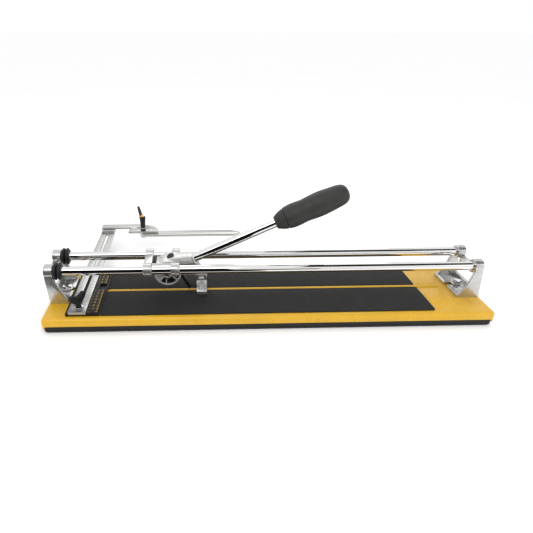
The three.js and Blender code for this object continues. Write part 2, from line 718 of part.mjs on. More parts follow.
function scaleStrip() {
  const strip = solid(block([SCALE.left, SCALE.right], [-81, 86], [SCALE.low, SCALE.high]));
  return cut(strip, block([NOTCH.left, 0], [NOTCH.front, NOTCH.back], [20, 50]));
}

function trayScrew(y) {
  const { x, radius, low, head, headLow, top } = TRAY_SCREW;
  return join(
    bar("Z", [headLow, top], head, [x, y, 0], 16),
    bar("Z", [low, headLow + 0.5], radius, [x, y, 0], 8),
  );
}

// The coach bolt that the arm slides along: its head is under the pan.
function clampStud() {
  const low = BASE.top - BASE.sheet - GAP;
  return join(
    bar("Z", [low - STUD.headHeight, low], STUD.head, [ARM_SLOT.x, STUD.y, 0]),
    bar("Z", [low - 1, STUD.top], STUD.radius, [ARM_SLOT.x, STUD.y, 0], 16),
  );
}

function clampWasher() {
  const z = [ARM.high + GAP, ARM.high + GAP + CLAMP_WASHER.thickness];
  const disc = solid(bar("Z", z, CLAMP_WASHER.radius, [ARM_SLOT.x, STUD.y, 0]));
  return cut(disc, bar("Z", [30, 50], STUD.bore, [ARM_SLOT.x, STUD.y, 0], 16));
}

function wingNut() {
  const right = [
    [3, 42],
    [8.5, 46],
    [14, 51],
    [16.4, 56],
    [15.6, 60.5],
    [11.5, 62.4],
    [6.5, 60],
    [0, 56.5],
  ];
  const left = right.slice(0, -1).map(([a, b]) => [-a, b]).reverse();
  const wings = prism(outline([...right, ...left]), "XZ", [-WING.half, WING.half]);
  const hub = bar("Z", [WING.low, WING.high], WING.hub);
  const body = cut(join(hub, wings), bar("Z", [30, 57], STUD.bore, [0, 0, 0], 16));
  return geometryOf(body)
    .rotateZ(THREE.MathUtils.degToRad(WING.turn))
    .translate(ARM_SLOT.x, STUD.y, 0);
}

add(cutter, "gauge_tray", gaugeTray(), BLACK_PLASTIC);
add(cutter, "scale_strip", scaleStrip(), BLACK_PLASTIC);
add(cutter, "tray_screw_front", trayScrew(TRAY_SCREW.y[0]), STEEL);
add(cutter, "tray_screw_back", trayScrew(TRAY_SCREW.y[1]), STEEL);
add(cutter, "clamp_stud", clampStud(), STEEL);
add(cutter, "clamp_washer", clampWasher(), STEEL);
add(cutter, "wing_nut", wingNut(), BLACK_PLASTIC);

// ---- lateral gauge: the sliding arm and its head ----
function headScrewHoles() {
  const { x, y, radius, high } = HEAD_SCREW;
  return x.map((at) => bar("Z", [20, high + GAP], radius + GAP, [at, y, 0], 12));
}

function slottedArm() {
  const shape = roundedRectangle([ARM.left, ARM.right], [ARM.front, ARM.back], 2);
  const { x, half, front, back } = ARM_SLOT;
  const slot = roundedRectangle([x - half, x + half], [front, back], half - 0.01);
  const bars = solid(prism(shape, "XY", [ARM.low, ARM.high], 4));
  return cut(bars, prism(slot, "XY", [20, 40], 8), ...headScrewHoles());
}

function armSpacer() {
  const { left, right, front, back } = SPACER;
  const plate = solid(block([left, right], [front, back], [ARM.high + GAP, HEAD.low - GAP]));
  return cut(plate, ...headScrewHoles());
}

// A bar that ends in a round protractor head with an arc slot about the fence's pivot.
function gaugeHead() {
  const { x, y } = SWIVEL;
  const z = [HEAD.low, HEAD.high];
  const disc = bar("Z", z, HEAD.radius, [x, y, 0], 56);
  const body = join(disc, block([SPACER.left, x], [HEAD.barFront, HEAD.barBack], z));
  const [from, to] = [HEAD_SLOT.from, HEAD_SLOT.to].map(THREE.MathUtils.degToRad);
  const slot = new THREE.Shape();
  slot.absarc(x, y, HEAD_SLOT.outer, from, to);
  slot.absarc(x, y, HEAD_SLOT.inner, to, from, true);
  return cut(
    body,
    block([x - 60, x + 60], [y - 60, HEAD.front], [30, 60]),
    prism(slot, "XY", [30, 60], 16),
    bar("Z", [30, 60], STUD.bore, [x, y, 0], 16),
    ...headScrewHoles(),
  );
}

function headScrew(x) {
  return join(
    bar("Z", [HEAD_SCREW.low, ARM.low - GAP], HEAD_SCREW.head, [x, HEAD_SCREW.y, 0], 16),
    bar("Z", [ARM.low - 1, HEAD_SCREW.high], HEAD_SCREW.radius, [x, HEAD_SCREW.y, 0], 10),
  );
}

function fenceBar() {
  const { left, right, front, back, low, high } = FENCE;
  const shape = outline([
    [left, back - 1.5],
    [left, front + 14],
    [left + 10, front],
    [right - 17, front],
    [right, front + 9],
    [right, front + 13],
    [right - 22, back],
    [left + 1.5, back],
  ]);
  const plate = solid(prism(shape, "XY", [low, high]));
  return cut(plate, bar("Z", [30, 60], STUD.bore, [SWIVEL.x, SWIVEL.y, 0], 16));
}

// The bolt that the fence swings on, held by the nut on the head.
function fenceStud() {
  const { x, y, head, headHeight } = SWIVEL;
  const headTop = FENCE.low - GAP;
  return join(
    bar("Z", [headTop - headHeight, headTop], head, [x, y, 0]),
    bar("Z", [FENCE.low - 1, CLAMP.studTop], STUD.radius, [x, y, 0], 16),
  );
}

function boredDisc(shape, z) {
  const hole = bar("Z", [z[0] - 5, z[1] + 5], STUD.bore, [SWIVEL.x, SWIVEL.y, 0], 16);
  return cut(solid(shape), hole);
}

// The clamping lever: an upright hub and an arm that leans back and up from its top.
function clampLever() {
  const { x, y } = SWIVEL;
  const { hubLow, hubTop } = CLAMP;
  const { z, lean, root, tip } = CLAMP_ARM;
  const direction = new THREE.Vector3(...lean);
  const length = direction.length();
  const turn = new THREE.Quaternion();
  turn.setFromUnitVectors(new THREE.Vector3(0, 1, 0), direction.clone().normalize());
  const arm = new THREE.CylinderGeometry(tip, root, length, 16).translate(0, length / 2, 0);
  arm.applyQuaternion(turn).translate(x, y, z);
  const end = new THREE.SphereGeometry(tip, 16, 8);
  end.translate(x + direction.x, y + direction.y, z + direction.z);
  const hub = bar("Z", [hubLow, hubTop], [5.4, 6.9], [x, y, 0]);
  const body = join(hub, arm, end);
  return cut(body, bar("Z", [hubLow - 2, CLAMP.studTop + 1], STUD.bore, [x, y, 0], 16));
}

add(cutter, "slotted_arm", slottedArm(), ALUMINIUM);
add(cutter, "arm_spacer", armSpacer(), ALUMINIUM);
add(cutter, "gauge_head", gaugeHead(), ALUMINIUM);
add(cutter, "head_screw_left", headScrew(HEAD_SCREW.x[0]), STEEL);
add(cutter, "head_screw_right", headScrew(HEAD_SCREW.x[1]), STEEL);
add(cutter, "fence", fenceBar(), ALUMINIUM);
add(cutter, "fence_stud", fenceStud(), STEEL);
const nutZ = [HEAD.high + GAP, CLAMP.nutTop];
const nutShape = hexagon("Z", nutZ, SWIVEL.nut, [SWIVEL.x, SWIVEL.y, 0]);
add(cutter, "stud_nut", boredDisc(nutShape, nutZ), BLACK_STEEL);
const washerZ = [CLAMP.nutTop + GAP, CLAMP.washerTop];
const washerShape = bar("Z", washerZ, SWIVEL.washer, [SWIVEL.x, SWIVEL.y, 0]);
add(cutter, "lever_washer", boredDisc(washerShape, washerZ), STEEL);
add(cutter, "clamp_lever", clampLever(), BLACK_PLASTIC);
const capZ = [CLAMP.hubTop + GAP, CLAMP.hubTop + GAP + CLAMP_CAP.thickness];
const capShape = bar("Z", capZ, CLAMP_CAP.radius, [SWIVEL.x, SWIVEL.y, 0]);
add(cutter, "lever_cap", capShape, YELLOW_PLASTIC);

export default cutter;
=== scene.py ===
"""The looks of a manual tile cutter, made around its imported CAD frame.

Shapes are written in millimetres in the CAD frame (+X along the rails, -Y the front,
+Z up) and are turned into metres when each piece is made.
"""
import json
from math import asin, atan2, cos, degrees, pi, radians, sin, sqrt, tan

import bmesh
import bpy
from mathutils import Matrix, Vector
from mathutils.geometry import tessellate_polygon


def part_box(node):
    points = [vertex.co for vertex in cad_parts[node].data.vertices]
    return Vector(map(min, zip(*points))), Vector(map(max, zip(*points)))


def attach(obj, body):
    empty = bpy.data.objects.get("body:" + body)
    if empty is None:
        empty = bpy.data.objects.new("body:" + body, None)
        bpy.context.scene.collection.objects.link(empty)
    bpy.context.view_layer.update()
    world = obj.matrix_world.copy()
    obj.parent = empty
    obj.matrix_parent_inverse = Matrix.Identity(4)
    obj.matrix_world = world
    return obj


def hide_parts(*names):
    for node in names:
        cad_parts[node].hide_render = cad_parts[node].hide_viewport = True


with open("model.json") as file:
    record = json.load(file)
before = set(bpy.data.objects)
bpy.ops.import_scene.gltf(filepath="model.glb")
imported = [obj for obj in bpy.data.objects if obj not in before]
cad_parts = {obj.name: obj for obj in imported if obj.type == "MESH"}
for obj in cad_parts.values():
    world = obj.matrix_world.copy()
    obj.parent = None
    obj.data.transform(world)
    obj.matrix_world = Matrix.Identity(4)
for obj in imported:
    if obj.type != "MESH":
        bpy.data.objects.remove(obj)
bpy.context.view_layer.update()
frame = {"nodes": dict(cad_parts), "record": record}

MM = 0.001
RECORD = frame["record"]
BODY_OF = {
    node: body for body, nodes in RECORD["behaviour"]["bodies"].items() for node in nodes
}



def placed(name, data):
    """A new object for some data, linked into the scene."""
    made = bpy.data.objects.new(name, data)
    bpy.context.scene.collection.objects.link(made)
    return made


def rotation(angle, axis):
    """A turn about an axis through the origin, in degrees."""
    return Matrix.Rotation(radians(angle), 4, axis)


# ---- camera ----
CAMERA_PLACE = (-132.2, -714.4, 457.9)
CAMERA_DOWN = 28.12
CAMERA_YAW = 1.943
CAMERA_ROLL = 0.139
CAMERA_LENS = 30.117
CAMERA_SENSOR = 36
CAMERA_SHIFT = 0.1126


def make_camera():
    data = bpy.data.cameras.new("camera")
    data.lens = CAMERA_LENS
    data.sensor_width = CAMERA_SENSOR
    data.shift_x = CAMERA_SHIFT
    camera = placed("camera", data)
    turn = rotation(-CAMERA_YAW, "Z") @ rotation(90 - CAMERA_DOWN, "X") @ rotation(CAMERA_ROLL, "Z")
    camera.matrix_world = Matrix.Translation(Vector(CAMERA_PLACE) * MM) @ turn
    bpy.context.scene.camera = camera


# ---- dimensions shared with the CAD frame ----
def span(node):
    """A CAD node's box in millimetres, as three (low, high) pairs."""
    low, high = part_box(node)
    return [(low[i] / MM, high[i] / MM) for i in range(3)]


def middle(pair):
    return (pair[0] + pair[1]) / 2


def about(centre, half):
    return (centre - half, centre + half)


def on_side(side, near, far):
    """A (low, high) pair on the side of zero that `side` points to."""
    return sorted((side * near, side * far))


RAIL_Y_SPAN, RAIL_Z_SPAN = span("rail_back")[1:]
RAIL_RADIUS = (RAIL_Z_SPAN[1] - RAIL_Z_SPAN[0]) / 2
RAIL_Y = middle(RAIL_Y_SPAN)
RAIL_Z = middle(RAIL_Z_SPAN)
RAIL_BORE = RAIL_RADIUS + 0.25
BASE_TOP = 27.0
FOOT_Z = span("bracket_right")[2][0]
PIVOT = Vector((-178, 0, 71.5))
HANDLE_ANGLE = 25
CARRIAGE_FRAME = Matrix.Translation((PIVOT.x, 0, RAIL_Z))
LEVER_FRAME = Matrix.Translation(PIVOT)
HOLDER_ANGLE = 27.6
HANDLE_FRAME = LEVER_FRAME @ rotation(-HANDLE_ANGLE, "Y")
HOLDER_FRAME = LEVER_FRAME @ rotation(-HOLDER_ANGLE, "Y")
ARM_X = middle(span("clamp_stud")[0])
STUD_Y = middle(span("clamp_stud")[1])
SWIVEL = (middle(span("fence_stud")[0]), middle(span("fence_stud")[1]))


# ---- outlines ----
def arc(centre, radius, start, end, steps=12):
    """Points on a circle from one angle to another, in degrees."""
    points = []
    for i in range(steps + 1):
        angle = radians(start + (end - start) * i / steps)
        points.append(
            (centre[0] + radius * cos(angle), centre[1] + radius * sin(angle))
        )
    return points


def bend_points(start, bend, end, steps):
    """Points on a curve from start to end that is drawn towards one bend."""
    out = []
    for i in range(steps + 1):
        t = i / steps
        out.append(tuple((1 - t) ** 2 * start + 2 * t * (1 - t) * bend + t * t * end))
    return out


def soften(points, radius, steps=6):
    """An outline whose corners are rounded, by one radius or by one for each corner."""
    radii = radius if isinstance(radius, list) else [radius] * len(points)
    out = []
    for i, corner in enumerate(points):
        here = Vector(corner)
        back = Vector(points[i - 1]) - here
        ahead = Vector(points[(i + 1) % len(points)]) - here
        angle = back.angle(ahead)
        if radii[i] <= 0 or angle > 3.1:
            out.append(tuple(here))
            continue
        reach = min(radii[i] / tan(angle / 2), 0.49 * back.length, 0.49 * ahead.length)
        start = here + back.normalized() * reach
        end = here + ahead.normalized() * reach
        out += bend_points(start, here, end, steps)
    return out


def rectangle(x, y, radius=0.0, steps=6):
    corners = [(x[0], y[0]), (x[1], y[0]), (x[1], y[1]), (x[0], y[1])]
    return soften(corners, radius, steps) if radius else corners


def circle(centre, radius, steps=48):
    return arc(centre, radius, 0, 360, steps)[:-1]


def hexagon(centre, flats):
    radius = flats / sqrt(3)
    return circle(centre, radius, 6)


def area_of(points):
    pairs = zip(points, points[1:] + points[:1])
    return sum(a[0] * b[1] - b[0] * a[1] for a, b in pairs) / 2


def inset(points, distance):
    """An anticlockwise outline moved inwards, or a clockwise hole moved outwards."""
    out = []
    count = len(points)
    for i, point in enumerate(points):
        here = Vector(point)
        back = (here - Vector(points[i - 1])).normalized()
        ahead = (Vector(points[(i + 1) % count]) - here).normalized()
        normal = Vector((-back.y - ahead.y, back.x + ahead.x)).normalized()
        scale = distance / max(0.35, normal.dot(Vector((-back.y, back.x))))
        out.append(tuple(here + normal * scale))
    return out


# ---- solids ----
LAYOUTS = {
    "XY": lambda a, b, c: (a, b, c),
    "XZ": lambda a, b, c: (a, c, b),
    "YZ": lambda a, b, c: (c, a, b),
}


def skin(rings, closed_ends=True):
    """A bmesh through rings of points with the same count; a one-point ring is a tip."""
    shape = bmesh.new()
    made = [[shape.verts.new(point) for point in ring] for ring in rings]
    pairs = list(zip(made, made[1:]))
    if not closed_ends:
        pairs.append((made[-1], made[0]))
    for low, high in pairs:
        count = max(len(low), len(high))
        for i in range(count):
            j = (i + 1) % count
            corners = [low[i % len(low)], low[j % len(low)]]
            corners += [high[j % len(high)], high[i % len(high)]]
            unique = list(dict.fromkeys(corners))
            if len(unique) > 2:
                shape.faces.new(unique)
    if closed_ends:
        for ring in (made[0], made[-1]):
            if len(ring) > 2:
                shape.faces.new(ring)
    bmesh.ops.recalc_face_normals(shape, faces=shape.faces)
    return shape


def turned(profile, sides=72, centre=(0, 0), ring=False):
    """A shape turned about X through (y, z) = centre, from (station, radius) pairs."""
    rings = []
    for station, radius in profile:
        if radius < 1e-6:
            rings.append([(station, centre[0], centre[1])])
            continue
        rings.append([(station, y, z) for y, z in circle(centre, radius, sides)])
    return skin(rings, closed_ends=not ring)


def moved(shape, matrix):
    bmesh.ops.transform(shape, matrix=matrix, verts=shape.verts)
    return shape


QUARTER = pi / 2
TURNS = {"X": Matrix(), "Y": rotation(90, "Z"), "Z": rotation(-90, "Y")}


def along(axis, shape, place=(0, 0, 0)):
    """Turns a shape made about X to stand about another axis, and moves it."""
    moved(shape, TURNS[axis])
    bmesh.ops.translate(shape, vec=place, verts=shape.verts)
    return shape


def bar_profile(low, high, radius, edges, steps=6):
    """Half the outline of a round bar, its two rims rounded."""
    corners = [(low, 0), (low, radius), (high, radius), (high, 0)]
    return soften(corners, [0, *edges, 0], steps)


def rod(axis, low, high, radius, place=(0, 0, 0), edge=0.4, sides=48):
    """A round bar with rounded rims."""
    return along(axis, turned(bar_profile(low, high, radius, (edge, edge), 3), sides), place)


def tube(axis, low, high, radius, bore, place=(0, 0, 0), edge=0.4, sides=72):
    corners = [(low, bore), (low, radius), (high, radius), (high, bore)]
    return along(axis, turned(soften(corners, edge, 3), sides, ring=True), place)


def plate(outline, low, high, layout="XY", edge=0.5, holes=(), steps=3):
    """A closed plate or prism with through holes, every rim rounded by `edge`."""
    outer = outline if area_of(outline) > 0 else outline[::-1]
    loops = [outer] + [hole if area_of(hole) < 0 else hole[::-1] for hole in holes]
    stations = []
    for i in range(steps + 1):
        angle = QUARTER * i / steps
        stations.append((edge * (1 - sin(angle)), edge * (1 - cos(angle))))
    levels = [(push, low + up) for push, up in stations]
    levels += [(push, high - up) for push, up in reversed(stations)]
    place = LAYOUTS[layout]
    shape = bmesh.new()
    ends = ([], [])
    for loop in loops:
        rings = []
        for push, level in levels:
            rings.append([shape.verts.new(place(a, b, level)) for a, b in inset(loop, push)])
        for first, second in zip(rings, rings[1:]):
            for i in range(len(loop)):
                j = (i + 1) % len(loop)
                shape.faces.new([first[i], first[j], second[j], second[i]])
        ends[0].extend(rings[0])
        ends[1].extend(rings[-1])
    flat = [[Vector((a, b, 0)) for a, b in inset(loop, edge)] for loop in loops]
    for end in ends:
        if len(loops) == 1:
            shape.faces.new(end)
            continue
        for a, b, c in tessellate_polygon(flat):
            if len({a, b, c}) == 3:
                shape.faces.new([end[a], end[b], end[c]])
    bmesh.ops.recalc_face_normals(shape, faces=shape.faces)
    return shape


def block(x, y, z, edge=0.6, corner=0.0):
    """A box with rounded edges, from its three (low, high) pairs."""
    return plate(rectangle(x, y, corner or edge, 3), *z, edge=edge)


def swept(path, radii, sides=24, flatten=1.0):
    """A round bar along a list of points, its radius given at each."""
    points = [Vector(p) for p in path]
    rings = []
    side = Vector((0, 0, 1))
    for i, point in enumerate(points):
        ahead = points[min(i + 1, len(points) - 1)] - points[max(i - 1, 0)]
        ahead.normalize()
        side = (side - ahead * side.dot(ahead)).normalized()
        other = ahead.cross(side)
        ring = []
        for a, b in circle((0, 0), radii[i], sides):
            ring.append(tuple(point + side * a * flatten + other * b))
        rings.append(ring)
    return skin(rings)


def combine(*shapes):
    """Several closed shapes as the parts of one mesh."""
    whole = bmesh.new()
    for shape in shapes:
        part = bpy.data.meshes.new("part")
        shape.to_mesh(part)
        whole.from_mesh(part)
        bpy.data.meshes.remove(part)
        shape.free()
    return whole


def scratch_object(shape):
    mesh = bpy.data.meshes.new("scratch")
    shape.to_mesh(mesh)
    shape.free()
    return placed("scratch", mesh)


def taken(made):
    """An object's shape as its modifiers leave it. The object itself goes."""
    depsgraph = bpy.context.evaluated_depsgraph_get()
    mesh = bpy.data.meshes.new_from_object(made.evaluated_get(depsgraph))
    shape = bmesh.new()
    shape.from_mesh(mesh)
    bpy.data.objects.remove(made)
    bpy.data.meshes.remove(mesh)
    return shape


def carve(shape, *cutters, operation="DIFFERENCE"):
    """A shape less its cutters, or what it shares with them."""
    body = scratch_object(shape)
    tools = [scratch_object(cutter) for cutter in cutters]
    for tool in tools:
        modifier = body.modifiers.new("carve", "BOOLEAN")
        modifier.operation = operation
        modifier.solver = "EXACT"
        modifier.object = tool
    out = taken(body)
    for tool in tools:
        bpy.data.objects.remove(tool)
    return out


def hex_head(axis, low, high, flats, place=(0, 0, 0), bore=0.0, chamfer_low=True):
    """A hexagon with turned chamfers, like a bolt's head or a nut."""
    radius = flats / sqrt(3)
    rim = flats / 2
    slope = (radius - rim) * 0.6
    start = rim if chamfer_low else radius + 0.1
    cone = [(low, 0), (low, start), (low + slope, radius + 0.1)]
    cone += [(high - slope, radius + 0.1), (high, rim), (high, 0)]
    prism = plate(hexagon((0, 0), flats), low - 1, high + 1, "YZ", edge=0.05, steps=1)
    shape = carve(prism, turned(cone, 48), operation="INTERSECT")
    if bore:
        shape = carve(shape, rod("X", low - 3, high + 3, bore, edge=0))
    return along(axis, shape, place)


# ---- making pieces ----
SHARP = radians(33)


def new_object(name, shape, finish, matrix=None):
    if matrix is not None:
        moved(shape, matrix)
    bmesh.ops.scale(shape, vec=(MM, MM, MM), verts=shape.verts)
    mesh = bpy.data.meshes.new(name)
    shape.to_mesh(mesh)
    shape.free()
    mesh.shade_smooth()
    mesh.set_sharp_from_angle(angle=SHARP)
    mesh.materials.append(finish)
    return placed(name, mesh)


def stand_in(node, shape, finish, matrix=None):
    """Shows a finely made shape in place of a CAD node, on the node's own body."""
    made = new_object(f"{node}_form", shape, finish, matrix)
    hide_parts(node)
    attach(made, BODY_OF[node])


def detail(name, shape, finish, body, matrix=None):
    """A piece that only the looks need."""
    made = new_object(name, shape, finish, matrix)
    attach(made, body)


# ---- materials ----
EVEN = (1, 1, 1)
ALONG_X = (0.04, 1, 1)
ALONG_Y = (1, 0.04, 1)
ALONG_Z = (1, 1, 0.04)
SPECULAR = 0.3
NOISE_ROUGHNESS = 0.55
# A colour Mix node's two colour inputs and its colour output, by number.
MIX_COLOURS = (6, 7)
MIX_RESULT = 2


class Finish:
    """A material with a small graph of nodes around one Principled shader."""

    def __init__(self, name, metallic, roughness):
        self.material = bpy.data.materials.new(name)
        self.material.use_nodes = True
        self.nodes = self.material.node_tree.nodes
        self.links = self.material.node_tree.links
        self.shader = self.nodes["Principled BSDF"]
        self.shader.inputs["Metallic"].default_value = metallic
        self.shader.inputs["Roughness"].default_value = roughness
        self.shader.inputs["Specular IOR Level"].default_value = SPECULAR
        self.place = self.nodes.new("ShaderNodeTexCoord").outputs["Object"]
        self.height = None

    def node(self, kind, **values):
        """A node with its inputs set; an underscore in a name stands for a space."""
        made = self.nodes.new(f"ShaderNode{kind}")
        for name, value in values.items():
            made.inputs[name.replace("_", " ")].default_value = value
        return made

    def noise(self, scale, stretch=EVEN, detail_level=4.0):
        """Noise with `scale` features to a metre, stretched along the small factors."""
        mapping = self.node("Mapping", Scale=stretch)
        self.links.new(self.place, mapping.inputs["Vector"])
        noise = self.node("TexNoise", Scale=scale, Detail=detail_level, Roughness=NOISE_ROUGHNESS)
        self.links.new(mapping.outputs["Vector"], noise.inputs["Vector"])
        return noise.outputs["Fac"]

    def cells(self, scale):
        voronoi = self.node("TexVoronoi", Scale=scale)
        self.links.new(self.place, voronoi.inputs["Vector"])
        return voronoi.outputs["Distance"]

    def ramp(self, value, low, high, start, end):
        """Carries a value from the range low...high over to start...end."""
        mapped = self.node("MapRange", From_Min=low, From_Max=high, To_Min=start, To_Max=end)
        self.links.new(value, mapped.inputs["Value"])
        return mapped.outputs["Result"]

    def mixed(self, factor, first, second):
        mix = self.node("Mix")
        mix.data_type = "RGBA"
        for index, value in zip(MIX_COLOURS, (first, second)):
            if isinstance(value, tuple):
                mix.inputs[index].default_value = (*value, 1)
            else:
                self.links.new(value, mix.inputs[index])
        self.links.new(factor, mix.inputs["Factor"])
        return mix.outputs[MIX_RESULT]

    def colour(self, value):
        self.links.new(value, self.shader.inputs["Base Color"])

    def roughness(self, value, low, high):
        """Lets a noise carry the roughness from low to high."""
        varied = self.ramp(value, 0.3, 0.7, low, high)
        self.links.new(varied, self.shader.inputs["Roughness"])

    def bump(self, height, strength, depth):
        """Adds a bump of `depth` metres to those already there."""
        bump = self.node("Bump", Strength=strength, Distance=depth)
        self.links.new(height, bump.inputs["Height"])
        if self.height is not None:
            self.links.new(self.height, bump.inputs["Normal"])
        self.height = bump.outputs["Normal"]
        self.links.new(self.height, self.shader.inputs["Normal"])


def toned(colour, factor, lift=0.0):
    return tuple(min(1.0, channel * factor + lift) for channel in colour)


def mottled(finish, colour, amount, scale, stretch=EVEN):
    """A colour that wanders between a darker and a lighter version of itself."""
    factor = finish.ramp(finish.noise(scale, stretch), 0.35, 0.65, 0, 1)
    return finish.mixed(factor, toned(colour, 1 - amount), toned(colour, 1 + amount))


def enamel(name, colour):
    """Semi-gloss paint on pressed sheet: orange peel, faint mottling and dust specks."""
    finish = Finish(name, 0.0, 0.3)
    body = mottled(finish, colour, 0.05, 22)
    specks = finish.ramp(finish.cells(420), 0.02, 0.05, 0.35, 0)
    finish.colour(finish.mixed(specks, body, toned(colour, 0.72)))
    finish.roughness(finish.noise(60), 0.24, 0.36)
    finish.bump(finish.noise(520, detail_level=2), 0.16, 0.0002)
    finish.bump(finish.noise(14, detail_level=1), 0.25, 0.0006)
    finish.shader.inputs["Coat Weight"].default_value = 0.25
    finish.shader.inputs["Coat Roughness"].default_value = 0.12
    return finish.material


def rubber(name, colour, roughness, grain, depth):
    """Moulded rubber: a pebbled skin, worn patches and a little pale dust."""
    finish = Finish(name, 0.0, roughness)
    body = mottled(finish, colour, 0.06, 30)
    dust = finish.ramp(finish.noise(900, detail_level=3), 0.6, 0.78, 0, 0.22)
    finish.colour(finish.mixed(dust, body, toned(colour, 1.7, 0.01)))
    finish.roughness(finish.noise(45), roughness - 0.03, roughness + 0.03)
    finish.bump(finish.cells(grain), 0.5, depth)
    finish.bump(finish.noise(grain * 2.2, detail_level=2), 0.3, depth * 0.6)
    return finish.material


def plated(name, colour, roughness, stretch, lines=260, scuff=0.05):
    """Bright plated or ground metal with fine lines along its small-stretch axis."""
    finish = Finish(name, 1.0, roughness)
    finish.colour(mottled(finish, colour, 0.035, 18, stretch))
    fine = finish.noise(lines, stretch, detail_level=5)
    finish.roughness(fine, max(0.02, roughness - scuff), roughness + scuff)
    finish.bump(fine, 0.12, 0.00006)
    return finish.material


def casting(name, colour, roughness, metal=0.88):
    """Die-cast and tumbled metal: soft waviness, a fine grain and faint stains."""
    finish = Finish(name, metal, roughness)
    body = mottled(finish, colour, 0.05, 40)
    stain = finish.ramp(finish.noise(110, detail_level=5), 0.62, 0.82, 0, 0.22)
    finish.colour(finish.mixed(stain, body, toned(colour, 0.7)))
    finish.roughness(finish.noise(90), roughness - 0.05, roughness + 0.07)
    finish.bump(finish.noise(60, detail_level=1), 0.2, 0.0002)
    finish.bump(finish.noise(1300, detail_level=3), 0.12, 0.00006)
    return finish.material


def plastic(name, colour, roughness, grain=1500):
    """Injection-moulded plastic: spark-eroded grain and slight gloss variation."""
    finish = Finish(name, 0.0, roughness)
    finish.colour(mottled(finish, colour, 0.08, 60))
    finish.roughness(finish.noise(80), roughness - 0.06, roughness + 0.08)
    finish.bump(finish.noise(grain, detail_level=3), 0.3, 0.00012)
    return finish.material


def print_ink(name, colour):
    """Pad-printed ink: slightly uneven cover."""
    finish = Finish(name, 0.0, 0.45)
    finish.colour(mottled(finish, colour, 0.12, 700))
    finish.bump(finish.noise(1800, detail_level=2), 0.15, 0.00005)
    return finish.material


def floor_finish():
    """Matt white studio paper."""
    finish = Finish("floor_paper", 0.0, 0.9)
    finish.colour(mottled(finish, (0.985, 0.985, 0.985), 0.006, 3))
    finish.shader.inputs["Specular IOR Level"].default_value = 0.1
    return finish.material


YELLOW = (0.64, 0.365, 0.019)
PAINT = enamel("enamel_yellow", YELLOW)
PAD = rubber("pad_rubber", (0.0155, 0.0155, 0.015), 0.75, 900, 0.0002)
SOLE = rubber("sole_rubber", (0.012, 0.012, 0.012), 0.5, 1400, 0.0001)
BUMPER = rubber("bumper_rubber", (0.012, 0.012, 0.013), 0.4, 1600, 0.00008)
CHROME = plated("chrome_bar", (0.80, 0.80, 0.795), 0.06, ALONG_X, 200, 0.035)
CAST = casting("cast_bright", (0.55, 0.55, 0.54), 0.24)
CAST_LEVER = casting("cast_lever", (0.6, 0.6, 0.59), 0.3, 0.55)
# Painted shade: a dark casting finish for the liners in the drum's pockets, standing in for the
# shade inside them.
CAST_PAINTED_SHADE = casting("cast_painted_shade", (0.10, 0.10, 0.105), 0.5)
CHROME_HANDLE = plated("chrome_handle", (0.80, 0.80, 0.795), 0.06, (0.3, 1, 0.3), 160, 0.04)
CHROME_BOLT = plated("chrome_bolt", (0.82, 0.82, 0.82), 0.12, EVEN)
SATIN_X = plated("aluminium_along_x", (0.55, 0.555, 0.545), 0.34, ALONG_X, 420, 0.08)
SATIN_Y = plated("aluminium_along_y", (0.53, 0.535, 0.525), 0.34, ALONG_Y, 420, 0.08)
ZINC = plated("zinc_steel", (0.60, 0.60, 0.59), 0.22, EVEN, 300, 0.08)
DARK_STEEL = plated("black_oxide", (0.06, 0.06, 0.064), 0.34, ALONG_Z, 350, 0.1)
BLACK = plastic("black_plastic", (0.011, 0.011, 0.011), 0.5)
GRIP = plastic("grip_skin", (0.031, 0.031, 0.0295), 0.5, 900)
CAP = plastic("cap_yellow", (0.78, 0.40, 0.03), 0.35)
INK = print_ink("scale_ink", (0.80, 0.47, 0.05))
ENGRAVED = print_ink("engraved_fill", (0.02, 0.02, 0.02))


# ---- base ----
def ring_levels(outline_at, levels):
    """Level rings of points, from (inset, height) pairs."""
    return [[(x, y, z) for x, y in outline_at(push)] for push, z in levels]


def base_outline(half_x, half_y, radius):
    """A rounded rectangle about the origin, as a function of how far it's inset."""
    def at(push):
        corner = max(radius - push, 0.8)
        return rectangle(
            (-half_x + push, half_x - push), (-half_y + push, half_y - push), corner, 10
        )

    return at


LIP_SIDE = 13.0
LIP_END = 6.0
BASE_EDGE = 6.0
PAN_CORNER = 9.0
SOLE_CORNER = 8.5
SOLE_TOP = 12.6
PAD_CORNER = 4.2
# Pieces that stand on another one are sunk into it by this much.
SUNK = 0.25
RIDGE_END = 331.0
RIDGE_WIDTH = 7.4
RIDGE_HEIGHT = 2.8
PANEL_X = (289, 337)
PANEL_Y = (7, 58)
BEAD_X = 362
BEAD_Y = (50, 76)


def base_pan():
    """The pressed pan: rounded shoulders, and walls that reach lower at its two ends."""
    half_x, half_y = (pair[1] for pair in span("base_pan")[:2])
    outline = base_outline(half_x, half_y, PAN_CORNER)

    def lip(at):
        drop = min(1.0, max(0.0, (abs(at) - half_x + 7.0) / 5.0))
        return LIP_SIDE + (LIP_END - LIP_SIDE) * drop

    rings = [[(a, b, 18.0) for a, b in outline(2.2)]]
    for push, up in ((2.2, 0.6), (1.8, 0), (0.5, 0), (0, 0.6)):
        rings.append([(a, b, lip(a) + up) for a, b in outline(push)])
    levels = []
    for i in range(11):
        angle = QUARTER * i / 10
        up = BASE_TOP - BASE_EDGE + BASE_EDGE * sin(angle)
        levels.append((BASE_EDGE * (1 - cos(angle)), up))
    shape = skin(rings + ring_levels(outline, levels))
    return combine(shape, ridge(), *[pressed(side) for side in (-1, 1)], *beads())


